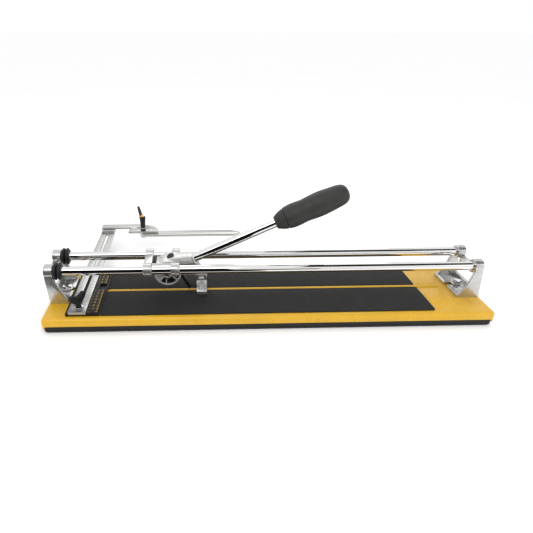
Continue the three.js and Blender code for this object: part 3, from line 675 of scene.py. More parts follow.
def ridge():
    """The breaking ridge between the pads, with tapered ends."""
    start = span("pad_back")[0][0] - 0.2
    rings = []
    stations = [(0, 0.05), (1.2, 0.55), (3, 0.85), (6, 1)]
    run = [(start + d, k) for d, k in stations]
    run += [(RIDGE_END - d, k) for d, k in stations[::-1]]
    for station, keep in run:
        half = RIDGE_WIDTH / 2 * (0.5 + 0.5 * keep)
        ring = [(station, half, BASE_TOP - 0.6)]
        for y, z in arc((0, 0), 1, 0, 180, 14):
            ring.append((station, y * half, BASE_TOP - 0.1 + z * (RIDGE_HEIGHT + 0.1) * keep))
        ring.append((station, -half, BASE_TOP - 0.6))
        rings.append(ring)
    return skin(rings)


def plateau(outline, height, run):
    """A low pressed panel whose edge rises smoothly out of the flat."""
    levels = [(0, BASE_TOP - 0.5)]
    for i in range(9):
        t = i / 8
        levels.append((run * t, BASE_TOP + height * (1 - cos(pi * t)) / 2))
    rings = [[(a, b, z) for a, b in inset(outline, push)] for push, z in levels]
    return skin(rings)


def pressed(side):
    """The panel pressed up in the paint beside the ridge's right end."""
    outline = soften(rectangle(PANEL_X, on_side(side, *PANEL_Y)), [3, 14, 14, 3], 8)
    return plateau(outline, 0.8, 2.6)


def beads():
    """A short raised bead near each corner of the pan."""
    out = []
    for x in (-BEAD_X, BEAD_X):
        for side in (-1, 1):
            outline = rectangle(about(x, 2), on_side(side, *BEAD_Y), 1.9, 5)
            out.append(plateau(outline, 0.7, 1.4))
    return out


def base_sole():
    """The dark foot under the pan: a rounded lower edge and a fine groove above it."""
    x, y, z = span("base_sole")
    outline = base_outline(x[1], y[1], SOLE_CORNER)
    levels = [(7.5, z[0]), (2.6, z[0]), (1.6, 0.4), (0.5, 1.5), (0, 2.8), (0, 4.6)]
    levels += [(0.55, 4.9), (0.55, 5.5), (0, 5.8), (0, SOLE_TOP)]
    return skin(ring_levels(outline, levels))


def pad(node):
    """A flat rubber pad, sunk a little into the pan."""
    x, y, z = span(node)
    return plate(rectangle(x, y, PAD_CORNER, 8), z[0] - SUNK, z[1], edge=0.45)


def make_base():
    stand_in("base_pan", base_pan(), PAINT)
    stand_in("base_sole", base_sole(), SOLE)
    for node in ("pad_front", "pad_back"):
        stand_in(node, pad(node), PAD)


# ---- brackets, rails and bumpers ----
# The outer wall of a bracket leans by `lean` from its foot to its rings.
BRACKETS = {
    "right": {"depth": 41.0, "lean": -5.9, "bend": (-25.0, 20.0), "end": 1},
    "left": {"depth": 34.0, "lean": 3.4, "bend": (-21.0, 25.0), "end": -1},
}
RING_LENGTH = 15.0
BRACKET_HALF = 41.5
BRACKET_RING = 12.5
BRACKET_OUT = span("bracket_right")[0][1]
BRACKET_SINK = -1.0
BOLT_INSET = 21.3
BOLT_FLATS = 15
BOLT_RADIUS = 3.9
BOLT_SLOT = 5.0
RAIL_UP = RAIL_Z - FOOT_Z
LOBE_RADIUS = 15.4
WAIST_RADIUS = 11.3


def outer_at(size, height):
    """Where a bracket's outer wall is at a height above its foot."""
    return size["lean"] * height / RAIL_UP


def gusset(size, y):
    """A side wall: full depth at the foot, one curve up to the rail's ring."""
    top = RAIL_UP - 6
    start = Vector((size["lean"] - RING_LENGTH + 0.6, top))
    end = Vector((-size["depth"] + 1.5, 5.0))
    outline = [(0, BRACKET_SINK), (outer_at(size, top), top)]
    outline += bend_points(start, Vector(size["bend"]), end, 14)
    outline.append((-size["depth"] + 1.2, BRACKET_SINK))
    return plate(outline, *y, "XZ", edge=0.8)


def bracket_foot(size):
    """The foot plate, with the bolt's slot open towards the middle of the base."""
    depth = size["depth"]
    mouth = arc((-BOLT_INSET, 0), BOLT_SLOT, 90, -90, 14)
    half = BRACKET_HALF - 0.4
    outline = [(-depth, -half), (-0.2, -half), (-0.2, half), (-depth, half)]
    outline += [(-depth, BOLT_SLOT + 1.2), (-depth + 1.2, BOLT_SLOT)]
    outline += mouth + [(-depth + 1.2, -BOLT_SLOT), (-depth, -BOLT_SLOT - 1.2)]
    return plate(outline, BRACKET_SINK, 6, edge=0.9)


def bracket(size):
    """A cast end bracket: foot, low end wall, cross tie, two side walls and two rings."""
    half = BRACKET_HALF
    inner, outer = size["lean"] - RING_LENGTH, size["lean"]
    wall = [(-6, 2), (0, 2), (outer_at(size, 13), 13), (outer_at(size, 13) - 6, 13)]
    shapes = [
        bracket_foot(size),
        plate(soften(wall, [0, 0, 0.8, 0.8], 3), -half + 1, half - 1, "XZ", edge=0.5),
        block((outer - 8, outer - 0.2), (-20, 20), (40, 54.7), 1.2),
        gusset(size, (-half, -half + 5)),
        gusset(size, (half - 5, half)),
    ]
    for side in (-1, 1):
        place = (0, side * RAIL_Y, RAIL_UP)
        shapes.append(tube("X", inner, outer, BRACKET_RING, RAIL_BORE, place, 0.9, 96))
        shapes.append(bracket_fillet(size, side))
    return combine(*shapes)


def bracket_fillet(size, side):
    """The web that carries a ring down on to the gusset's top."""
    low, high = RAIL_UP - BRACKET_RING - 4, RAIL_UP - 3
    inner = size["lean"] - RING_LENGTH + 0.7
    outline = [(inner, low), (outer_at(size, low) - 0.3, low)]
    outline += [(outer_at(size, high) - 0.3, high), (inner, high)]
    y = on_side(side, BRACKET_HALF - 5.5, BRACKET_HALF - 0.2)
    return plate(outline, *y, "XZ", edge=0.8)


def bracket_frame(size):
    place = Matrix.Translation((size["end"] * BRACKET_OUT, 0, FOOT_Z))
    return place if size["end"] > 0 else place @ rotation(180, "Z")


def foot_bolt(place):
    """A hexagon head with a plain shank."""
    head = hex_head("Z", 8.3, 13.5, BOLT_FLATS, place, chamfer_low=False)
    return combine(head, rod("Z", -14, 9, BOLT_RADIUS, place, 0.5))


def make_brackets():
    for label, size in BRACKETS.items():
        place = bracket_frame(size)
        at = (-BOLT_INSET, 0, 0)
        stand_in(f"bracket_{label}", bracket(size), CAST, place)
        stand_in(f"bracket_bolt_{label}", foot_bolt(at), CHROME_BOLT, place)
        washer = tube("Z", 6.3, 7.9, 9.4, 4.3, at, 0.35)
        stand_in(f"bracket_washer_{label}", washer, ZINC, place)
    for side in ("front", "back"):
        x, y, _ = span(f"rail_{side}")
        centre = (middle(y), RAIL_Z)
        rail = turned(bar_profile(*x, RAIL_RADIUS, (0.9, 0.9)), 128, centre)
        stand_in(f"rail_{side}", rail, CHROME)
        stand_in(f"bumper_{side}", bumper(centre, span(f"bumper_{side}")[0]), BUMPER)


def bumper(centre, x):
    """A rubber bellows: two thin round lobes with a narrow waist between them."""
    length = x[1] - x[0]
    profile = [(x[0], RAIL_BORE), (x[0], WAIST_RADIUS)]
    steps = 48
    for i in range(steps + 1):
        t = i / steps
        swell = abs(sin(2 * pi * t)) ** 0.75
        radius = WAIST_RADIUS + (LOBE_RADIUS - WAIST_RADIUS) * swell
        profile.append((x[0] + 0.3 + (length - 0.6) * t, radius))
    profile += [(x[1], WAIST_RADIUS), (x[1], RAIL_BORE)]
    return turned(profile, 96, centre, ring=True)


# ---- carriage ----
YOKES = {"left": (-41.0, -26.5), "right": (7.0, 22.0)}
CHEEK = (16.5, 20.5)
YOKE_RING = 12.0
YOKE_BORE = 9.9
PIVOT_DROP = 14.5


def cheek(side):
    """The carriage's side wall that carries the pivot."""
    corners = [(-41, -8.5), (-35, -11.5), (15, -11.5), (22, -8.5), (22, 5), (-41, 7)]
    return plate(soften(corners, 2.0), *on_side(side, *CHEEK), "XZ", edge=0.8)


def carriage_casting():
    """Two bars and two bridges around a window, cheeks for the pivot, and four yokes."""
    shapes = [
        block((-41, 22), (-20, -15.8), (-2, 6.8), 1.0),
        block((-41, 22), (15.8, 20), (-2, 6.8), 1.0),
        block((-41, -26.5), (-20, 20), (-2, 7), 1.2, 1.2),
        block((-27, 22), (-20, 20), (-2, 5.4), 0.8),
    ]
    for side in (-1, 1):
        shapes.append(cheek(side))
        y = on_side(side, CHEEK[0] - 0.1, CHEEK[1] + 0.2)
        shapes.append(tube("Y", *y, 7.8, 5.3, (0, 0, -PIVOT_DROP), 0.6))
        for low, high in YOKES.values():
            place = (0, side * RAIL_Y, 0)
            shapes.append(tube("X", low, high, YOKE_RING, YOKE_BORE, place, 1.0, 96))
    return combine(*shapes)


def lever_buffer():
    """The rubber block with two rounded ridges."""
    low, ridge_radius, start = 1.5, 1.65, -26.2
    outline = [(start, low), (start + 4 * ridge_radius, low)]
    for middle_x in (start + 3 * ridge_radius, start + ridge_radius):
        outline += arc((middle_x, 7.6 - ridge_radius), ridge_radius - 0.02, 0, 180, 10)
    return plate(outline, -13, 13, "XZ", edge=0.7)


def pivot_pin():
    """The shouldered pin: a domed head in front and a thread at the back."""
    profile = [(-28, 0), (-27.9, 2.6), (-27.5, 4.6), (-26.8, 5.8), (-26, 6.15)]
    profile += [(-21.3, 6.15), (-20.9, 5.8), (-20.8, 4.9), (20.4, 4.9), (20.7, 3)]
    for i in range(7):
        profile += [(21.4 + 0.8 * i, 2.6), (21.8 + 0.8 * i, 3)]
    profile += [(27.2, 2.5), (27.2, 0)]
    return along("Y", turned(profile, 64), (0, 0, -PIVOT_DROP))


def make_carriage():
    stand_in("carriage", carriage_casting(), CAST, CARRIAGE_FRAME)
    stand_in("lever_buffer", lever_buffer(), BUMPER, CARRIAGE_FRAME)
    stand_in("pivot_pin", pivot_pin(), ZINC, CARRIAGE_FRAME)
    nut = hex_head("Y", 20.8, 26.3, 10, (0, 0, -PIVOT_DROP), 3.2)
    stand_in("pivot_nut", nut, ZINC, CARRIAGE_FRAME)
    for yoke, (low, high) in YOKES.items():
        for side, name in ((-1, "front"), (1, "back")):
            place = (0, side * RAIL_Y, 0)
            radius = YOKE_BORE - 0.2
            sleeve = tube("X", low + 0.3, high - 0.3, radius, RAIL_BORE, place, 0.3)
            stand_in(f"rail_bush_{yoke}_{name}", sleeve, BLACK, CARRIAGE_FRAME)


# ---- lever ----
HOLDER_U = 17.4
HOLDER_RADIUS = 3.4
HOLDER_Z = (-48, 22.9)
FORK_Z = (-52.6, -47.4)
FORK_RADIUS = 3.5
FORK_SLOT = 1.5
HOLDER_NUT_Z = (15.8, 23.8)
WHEEL_W = -52.0
WHEEL_BORE = 1.2
HANDLE_SPAN = (30.6, 302.6)
HANDLE_RADIUS = 7.95
FOOT_X = 61.0
FOOT_HALF = 9.5
FOOT_PIN_Z = -14.0
DRUM_HALF = 16.0
DRUM_RADIUS = 24.5
DRUM_RIM = 20.6
DRUM_HUB = 9.5
DRUM_WEB = 6.0
SPOKE_HALF = 1.2
SPOKE_START = -39


def drum():
    """The drum: a rim and hub on a thin web, with spokes and one filled sector."""
    half, rim, hub, web = DRUM_HALF, DRUM_RIM, DRUM_HUB, DRUM_WEB
    corners = [(-half, 5.3), (-half, hub), (-web, hub + 0.8), (-web, rim), (-half, rim + 0.4)]
    corners += [(-half, DRUM_RADIUS), (half, DRUM_RADIUS), (half, rim + 0.4), (web, rim)]
    corners += [(web, hub + 0.8), (half, hub), (half, 5.3)]
    radii = [0.4, 0.8, 1.0, 1.0, 0.6, 1.4, 1.4, 0.6, 1.0, 1.0, 0.8, 0.4]
    shapes = [along("Y", turned(soften(corners, radii, 3), 120, ring=True))]
    for side in (-1, 1):
        y = on_side(side, web - 0.4, half - 0.2)
        for i in range(6):
            spoke = block((hub - 1, rim + 0.6), about(0, SPOKE_HALF), y, 0.5)
            turn = rotation(-SPOKE_START - 60 * i, "Y")
            shapes.append(moved(spoke, turn @ rotation(90, "X")))
        wedge = arc((0, 0), hub - 0.5, 232, 178, 6) + arc((0, 0), rim + 0.5, 178, 232, 10)
        shapes.append(plate(wedge, *y, "XZ", edge=0.5))
    return shapes


def drum_recess(side):
    """A thin liner over the floor and walls of the drum's pocket, coloured dark as painted shade in
    the pocket.
    """
    web, rim, hub, mouth = DRUM_WEB, DRUM_RIM - 0.05, DRUM_HUB + 0.85, 14.2
    profile = [(web - 0.1, hub), (web + 0.05, hub - 0.1), (mouth, hub - 0.35)]
    profile += [(mouth, hub - 0.2), (web + 0.25, hub + 0.15), (web + 0.25, rim - 0.35)]
    profile += [(mouth, rim), (mouth, rim + 0.2), (web - 0.1, rim)]
    return along("Y", turned([(side * a, b) for a, b in profile], 96, ring=True))


def socket():
    """The wedge-shaped hood that the handle's bar is pushed into, and its mouth."""
    corners = [(-12, -8), (0, -14), (53.9, -9.3), (53.9, 9.3)]
    corners += [(22.5, 20.5), (10, 22.3), (-8, 17.9)]
    outline = soften(corners, [4, 6, 1.5, 1.5, 12, 6, 4], 5)
    hood = plate(outline, -10, 10, "XZ", edge=3.6, steps=6)
    bore = turned([(30, 0), (30, RAIL_BORE), (60, RAIL_BORE), (60, 0)], 96)
    return moved(carve(hood, bore), rotation(-HANDLE_ANGLE, "Y"))


def lever_arm():
    """The curved arm that carries the presser foot."""
    corners = [(8, -8), (48, -9), (69.5, -9), (69.5, -4)]
    corners += [(60.5, 6), (52, 19), (44, 24), (8, 12)]
    outline = soften(corners, [0, 0, 1.6, 1.6, 12, 10, 3, 0], 8)
    return plate(outline, -7, 7, "XZ", edge=1.8, steps=4)


def lever_casting():
    """The drum, the handle's hood, the curved arm and the lug for the foot's pin."""
    lug = about(FOOT_X, 4.5)
    shapes = drum() + [
        socket(),
        lever_arm(),
        block((48, 69.4), (-9.4, 9.4), (-9, -4.2), 1.5, 2.5),
        block(lug, (-3.5, 3.5), (FOOT_PIN_Z, -8), 0.4),
        tube("X", *lug, 3.5, 2.8, (0, 0, FOOT_PIN_Z), 0.3, 40),
    ]
    return combine(*shapes)


def handle_bar():
    """The chromed bar between the hood and the grip."""
    return turned(bar_profile(*HANDLE_SPAN, HANDLE_RADIUS, (1, 1)), 96)


def curve_through(points, steps=6):
    """A smooth run of (station, radius) pairs through the ones given."""
    out = []
    for i in range(len(points) - 1):
        before = Vector(points[max(i - 1, 0)])
        start, end = Vector(points[i]), Vector(points[i + 1])
        after = Vector(points[min(i + 2, len(points) - 1)])
        for k in range(steps):
            t = k / steps
            point = start * 2 + (end - before) * t
            point += (before * 2 - start * 5 + end * 4 - after) * t * t
            point += (start * 3 - before - end * 3 + after) * t * t * t
            out.append(tuple(point / 2))
    return out + [tuple(points[-1])]


def grip_collar():
    """The flared collar at the grip's lower end."""
    stations = [(209.2, 10.0), (210.2, 11.2), (213, 12.8), (217.5, 15.1)]
    stations += [(222.5, 17.1), (226.6, 18.3)]
    profile = [(209.1, RAIL_BORE), (209.1, 9.4)] + curve_through(stations)
    profile += [(227.3, 18.3), (227.7, 17.8), (227.7, RAIL_BORE)]
    return turned(profile, 96, ring=True)


def hand_grip():
    """A full, slightly waisted grip with a rounded end and a blind bore."""
    stations = [(229, 18.9), (233, 19.9), (241, 20.7), (250, 20.6), (261, 19.7), (272, 20.3)]
    stations += [(284, 21.1), (295, 21.15), (306, 20.3), (317, 19.3), (326, 18.3), (333, 16.4)]
    stations += [(338, 12.8), (340.6, 7.6), (341.5, 2.5)]
    profile = [(303, 0), (303, RAIL_BORE), (228.2, RAIL_BORE), (228.2, 18.2)]
    profile += curve_through(stations, 5) + [(341.55, 0)]
    return turned(profile, 96)


def wheel_holder():
    """The black shaft with a fork of two tines at its lower end that hold the wheel."""
    shaft = turned(bar_profile(*HOLDER_Z, HOLDER_RADIUS, (0.2, 0.8), 3), 64)
    shapes = [along("Z", shaft, (HOLDER_U, 0, 0))]
    reach = degrees(asin(FORK_SLOT / FORK_RADIUS))
    for side in (-1, 1):
        tine = arc((HOLDER_U, 0), FORK_RADIUS, reach, 180 - reach, 14)
        shapes.append(plate([(a, side * b) for a, b in tine], *FORK_Z, edge=0.35))
    return combine(*shapes)


def scoring_wheel():
    """A small disc with a sharp rim between two flat lands."""
    profile = [(-1.1, WHEEL_BORE), (-1.1, 2.2), (-1, 2.35), (0, 3.15), (1, 2.35), (1.1, 2.2)]
    profile += [(1.1, WHEEL_BORE)]
    return along("Y", turned(profile, 96, ring=True), (HOLDER_U, 0, WHEEL_W))


def presser_foot():
    """Two sloping wings with an oval recess in each, and two ears that hold the pin."""
    corners = [(-23, -41.2), (-8, -41.2), (0, -32.2), (8, -41.2), (23, -41.2)]
    corners += [(23, -34.8), (3, -19), (-3, -19), (-23, -34.8)]
    section = soften(corners, [0.8, 0.8, 3, 0.8, 0.8, 1.4, 2.5, 2.5, 1.4], 4)
    body = plate(section, *about(FOOT_X, FOOT_HALF), "YZ", edge=0.8)
    slope = atan2(15.8, 20)
    recesses = []
    for side in (-1, 1):
        shape = plate(rectangle(about(0, 4.2), about(0, 7), 4.0, 8), -1.4, 6, edge=0.3)
        turn = Matrix.Rotation(-side * slope, 4, "X")
        place = Matrix.Translation((FOOT_X, side * 13, -26.9)) @ turn
        recesses.append(moved(shape, place))
    corners = [(-5.5, -22), (5.5, -22), (5.5, -13), (3, -10.7), (-3, -10.7), (-5.5, -13)]
    bore = circle((0, FOOT_PIN_Z), 2.8, 32)
    ears = []
    for low, high in ((51.5, 56.2), (65.8, 70.5)):
        ears.append(plate(soften(corners, 2), low, high, "YZ", edge=0.6, holes=[bore]))
    return combine(carve(body, *recesses), *ears)


def make_lever():
    stand_in("lever_casting", lever_casting(), CAST_LEVER, LEVER_FRAME)
    for side, name in ((-1, "front"), (1, "back")):
        # Dark liners in the drum's pockets: painted shade.
        recess = drum_recess(side)
        detail(f"drum_recess_{name}", recess, CAST_PAINTED_SHADE, "lever", LEVER_FRAME)
    stand_in("handle_rod", handle_bar(), CHROME_HANDLE, HANDLE_FRAME)
    stand_in("grip_collar", grip_collar(), GRIP, HANDLE_FRAME)
    stand_in("grip", hand_grip(), GRIP, HANDLE_FRAME)
    stand_in("wheel_holder", wheel_holder(), DARK_STEEL, HOLDER_FRAME)
    nut = hex_head("Z", *HOLDER_NUT_Z, 12, (HOLDER_U, 0, 0), HOLDER_RADIUS + 0.1)
    stand_in("holder_nut", nut, DARK_STEEL, HOLDER_FRAME)
    stand_in("scoring_wheel", scoring_wheel(), ZINC, HOLDER_FRAME)
    axle = rod("Y", -3.35, 3.35, 0.9, (HOLDER_U, 0, WHEEL_W), 0.2, 32)
    stand_in("wheel_axle", axle, ZINC, HOLDER_FRAME)
    stand_in("presser_foot", presser_foot(), CAST, LEVER_FRAME)
    pin = rod("X", *about(FOOT_X, 10), 2.5, (0, 0, FOOT_PIN_Z), 0.5, 40)
    stand_in("presser_pin", pin, ZINC, LEVER_FRAME)


# ---- gauge: tray and scale ----
TRAY_FLOOR = 30.0
TRAY_WALL = -345.5
BED_Z = (29, 32.7)
# The notch in the scale, cut from the right as far as this X.
NOTCH_X = -306
NOTCH_Y = (-3.0, 16.0)
SCALE_Y = (-81, 86)
STUD_BORE = 2.7
STUD_RADIUS = 2.35
STUD_PITCH = 0.9
WING_TURN = 50
SCALE_X = span("scale_strip")[0]


def gauge_tray():
    """The long moulded tray: a thin floor, a left wall and a raised bed for the scale."""
    x, y, z = span("gauge_tray")
    bed = (SCALE_X[0] - 0.3, SCALE_X[1])
    shapes = [
        block(x, y, (z[0] - SUNK, TRAY_FLOOR), 0.4),
        block((x[0], TRAY_WALL), y, (28, z[1]), 0.5),
        block(bed, (y[0], NOTCH_Y[0]), BED_Z, 0.4),
        block(bed, (NOTCH_Y[1], y[1]), BED_Z, 0.4),
        block((bed[0], NOTCH_X), (-6, 20), BED_Z, 0.4),
    ]
    return combine(*shapes)


def scale_strip():
    """The scale's thin strip, with the notch in its right side."""
    z = span("scale_strip")[2]
    (left, right), (front, back) = SCALE_X, SCALE_Y
    outline = [(left, front), (right, front), (right, NOTCH_Y[0]), (NOTCH_X, NOTCH_Y[0])]
    outline += [(NOTCH_X, NOTCH_Y[1]), (right, NOTCH_Y[1]), (right, back), (left, back)]
    return plate(soften(outline, 0.8, 3), z[0] - 0.2, z[1] - 0.05, edge=0.25)


def mark(x, y, z, height=0.06):
    """One flat printed or engraved mark."""
    return plate(rectangle(x, y), z - 0.1, z + height, edge=0.01, steps=1)


def scale_marks():
    """A row of ticks along the strip's right edge and longer dashes on its left."""
    top = span("scale_strip")[2][1] - 0.05
    right = SCALE_X[1] - 0.7
    shapes = []
    for i in range(-79, 85, 2):
        if NOTCH_Y[0] - 1 < i < NOTCH_Y[1] + 1:
            continue
        length = 4.4 if (i + 79) % 10 == 0 else 2.2
        y = about(i, 0.22)
        shapes.append(mark((right - length, right), y, top))
        if (i + 79) % 10 == 0:
            shapes.append(mark((SCALE_X[0] + 0.5, SCALE_X[0] + 4), y, top))
    return combine(*shapes)


def numeral(text, place, size):
    """A generic numeral as a flat shape, centred on its place."""
    curve = bpy.data.curves.new("numeral", "FONT")
    curve.body = text
    curve.size = size
    curve.align_x = "CENTER"
    curve.align_y = "CENTER"
    curve.extrude = 0.03
    return moved(taken(placed("numeral", curve)), Matrix.Translation(place))


def scale_numerals():
    top = span("scale_strip")[2][1] - 0.02
    shapes = []
    for i in range(-7, 9):
        y = i * 10 + 1
        if NOTCH_Y[0] - 3 < y < NOTCH_Y[1] + 3:
            continue
        shapes.append(numeral(str(abs(i)), (middle(SCALE_X) - 0.6, y, top), 5.6))
    return combine(*shapes)


def cross_screw(z, head, place, shank_low):
    """A countersunk screw with a cross recess."""
    profile = [(shank_low, 0), (shank_low, 1.9), (z - 1.6, 1.9), (z - 0.5, head)]
    profile += [(z - 0.15, head), (z, head - 0.4), (z, 0)]
    shape = along("Z", turned(profile, 48), place)
    x, y, _ = place
    arms = []
    for long, wide in ((2.3, 0.5), (0.5, 2.3)):
        arms.append(block(about(x, long), about(y, wide), about(z, 1), 0.02))
    return carve(shape, *arms)


def threaded(low, high, radius, pitch, place):
    """A bolt's shank with turned thread ridges and a chamfered end."""
    profile = [(low, 0), (low, radius - 0.3)]
    count = int((high - low - 1.5) / pitch)
    for i in range(count):
        station = low + 0.3 + i * pitch
        profile += [(station, radius - 0.35), (station + pitch / 2, radius)]
    profile += [(high - 1.0, radius - 0.3), (high, radius - 1.1), (high, 0)]
    return along("Z", turned(profile, 40), place)


def headed_stud(node, place, radius, height, overlap):
    """A flat round head and the threaded shank that starts inside it."""
    low, high = span(node)[2]
    shank = threaded(low + height - overlap, high, STUD_RADIUS, STUD_PITCH, place)
    return combine(rod("Z", low, low + height, radius, place, 0.8), shank)


def wing_nut():
    """A moulded wing nut: a tapered hub and two rounded wings with ribbed faces."""
    right = [(3, 42), (8.5, 46), (14, 51), (16.4, 56)]
    right += [(15.6, 60.5), (11.5, 62.4), (6.5, 60), (0, 56.5)]
    left = [(-a, b) for a, b in reversed(right[:-1])]
    outline = soften(right + left, [1, 6, 5, 5, 4, 4, 4, 3, 4, 4, 4, 5, 5, 6, 1], 5)
    hub = [(38.1, STUD_BORE), (38.1, 4.9), (39.4, 5), (48.6, 5.5), (50, 5.5), (50, STUD_BORE)]
    wings = plate(outline, -3.2, 3.2, "XZ", edge=1.6, steps=5)
    bore = rod("Z", 30, 57.5, STUD_BORE, edge=0.05)
    shapes = [along("Z", turned(soften(hub, 0.4, 3), 64, ring=True)), carve(wings, bore)]
    for side in (-1, 1):
        for face in (-1, 1):
            y = on_side(face, 2.6, 3.35)
            for k in range(3):
                x = about(side * (7.4 + 2.2 * k), 0.5)
                shapes.append(block(x, y, (49.2 + 1.6 * k, 59.2), 0.25))
    return combine(*shapes)


def make_tray():
    stand_in("gauge_tray", gauge_tray(), BLACK)
    stand_in("scale_strip", scale_strip(), BLACK)
    detail("scale_ticks", scale_marks(), INK, "base")
    detail("scale_numerals", scale_numerals(), INK, "base")
    for name in ("front", "back"):
        x, y, z = span(f"tray_screw_{name}")
        screw = cross_screw(z[1], 3.9, (middle(x), middle(y), 0), z[0])
        stand_in(f"tray_screw_{name}", screw, ZINC)
    place = (ARM_X, STUD_Y, 0)
    stand_in("clamp_stud", headed_stud("clamp_stud", place, 7.9, 4, 1), ZINC)
    washer = tube("Z", *span("clamp_washer")[2], 8.5, STUD_BORE, place, 0.35)
    stand_in("clamp_washer", washer, ZINC)
    turn = Matrix.Translation(place) @ rotation(WING_TURN, "Z")
    stand_in("wing_nut", wing_nut(), BLACK, turn)


# ---- gauge: arm, head and fence ----
SLOT_HALF = 2.8
SLOT_Y = (-72.0, 243.0)
HEAD_Z = (42.0, 47.0)
HEAD_RADIUS = 34.0
HEAD_FRONT = 228.0
HEAD_BACK = 272
HEAD_BAR = 253
HEAD_SLOT = (18.5, 25.5)
HEAD_SLOT_SPAN = (16, 150)
LEVER_TOP = 82.0
LEVER_INSIDE = 71.0
LEVER_ARM_Z = 74.5
LEVER_LEAN = Vector((-12, 38, 15))


def slotted_arm():
    """The long flat arm with a slot down its middle."""
    x, y, z = span("slotted_arm")
    slot = rectangle(about(ARM_X, SLOT_HALF), SLOT_Y, SLOT_HALF * 0.98, 10)
    return plate(rectangle(x, y, 2.0, 5), *z, edge=0.5, holes=[slot])


def arm_marks():
    """Engraved marks every 10 mm on the arm's right-hand bar."""
    x, _, z = span("slotted_arm")
    end = x[1] - 1
    shapes = []
    for i in range(-7, 24):
        at = i * 10
        length = 7.6 if i % 5 == 0 else 5.4
        shapes.append(mark((end - length, end), about(at, 0.35), z[1], 0.02))
    return combine(*shapes)


def arm_numerals():
    """Small engraved numerals beside every fifth mark."""
    x, _, z = span("slotted_arm")
    shapes = []
    for i in range(-5, 21, 5):
        place = (x[0] + 5.4, i * 10, z[1] + 0.005)
        shapes.append(numeral(str(abs(i) + 10), place, 5.0))
    return combine(*shapes)


def gauge_head():
    """A bar ending in a round head, with an arc slot about the fence's pivot."""
    left = span("arm_spacer")[0][0]
    start = degrees(asin((HEAD_FRONT - SWIVEL[1]) / HEAD_RADIUS))
    joins = degrees(asin((HEAD_BAR - SWIVEL[1]) / HEAD_RADIUS))
    outline = arc(SWIVEL, HEAD_RADIUS, start, 90, 24)
    outline += [(SWIVEL[0], HEAD_BACK), (left + 1.5, HEAD_BACK), (left, HEAD_BACK - 1.5)]
    outline += [(left, HEAD_BAR + 1.5), (left + 1.5, HEAD_BAR)]
    outline += arc(SWIVEL, HEAD_RADIUS, 180 - joins, 180 - start, 12)
    low, high = HEAD_SLOT_SPAN
    slot = arc(SWIVEL, HEAD_SLOT[1], low, high, 40) + arc(SWIVEL, HEAD_SLOT[0], high, low, 40)
    hole = circle(SWIVEL, STUD_BORE, 32)
    return plate(outline, *HEAD_Z, edge=0.55, holes=[slot, hole])


def head_marks():
    """Degree marks every 5 degrees outside the arc slot."""
    shapes = []
    for i in range(26):
        angle = 21 + 5 * i
        length = 4.6 if i % 3 == 0 else 2.8
        start = HEAD_SLOT[1] + 1.8
        shape = mark((start, start + length), about(0, 0.25), HEAD_Z[1], 0.02)
        turn = Matrix.Translation((*SWIVEL, 0)) @ rotation(angle, "Z")
        shapes.append(moved(shape, turn))
    return combine(*shapes)


def fence_bar():
    """The flat bar that the tile rests against, with a tapered free end."""
    x, y, z = span("fence")
    outline = [(x[0], y[1] - 1.5), (x[0], y[0] + 14), (x[0] + 10, y[0]), (x[1] - 17, y[0])]
    outline += [(x[1], y[0] + 9), (x[1], y[0] + 13), (x[1] - 22, y[1]), (x[0] + 1.5, y[1])]
    shape = soften(outline, [0.5, 2, 2, 4, 2, 2, 4, 0.5], 5)
    return plate(shape, *z, edge=0.5, holes=[circle(SWIVEL, STUD_BORE, 32)])


def clamp_lever():
    """A moulded lever: a tapered hub and an arm swept up and back from it."""
    low, top, bore = span("clamp_lever")[2][0], LEVER_TOP, STUD_BORE
    profile = [(low, bore), (low, 5.2), (low + 1, 5.4), (low + 12, 5.9), (top - 4, 6.8)]
    profile += [(top - 1, 6.9), (top - 0.1, 6.3), (top, 5.2), (top, 0)]
    profile += [(LEVER_INSIDE, 0), (LEVER_INSIDE, bore)]
    hub = along("Z", turned(profile, 64, ring=True), (*SWIVEL, 0))
    path, radii = [], []
    count = 14
    for i in range(count + 1):
        t = i / count
        lift = 1.6 * sin(pi * t)
        path.append(Vector((*SWIVEL, LEVER_ARM_Z)) + LEVER_LEAN * t - Vector((0, 0, lift)))
        radii.append(4.7 - 1.6 * t)
    direction = (path[-1] - path[-2]).normalized()
    for i in range(1, 7):
        angle = QUARTER * i / 6
        path.append(path[count] + direction * 3.05 * sin(angle))
        radii.append(max(0.15, 3.1 * cos(angle)))
    return combine(hub, swept(path, radii, 28, 0.92))


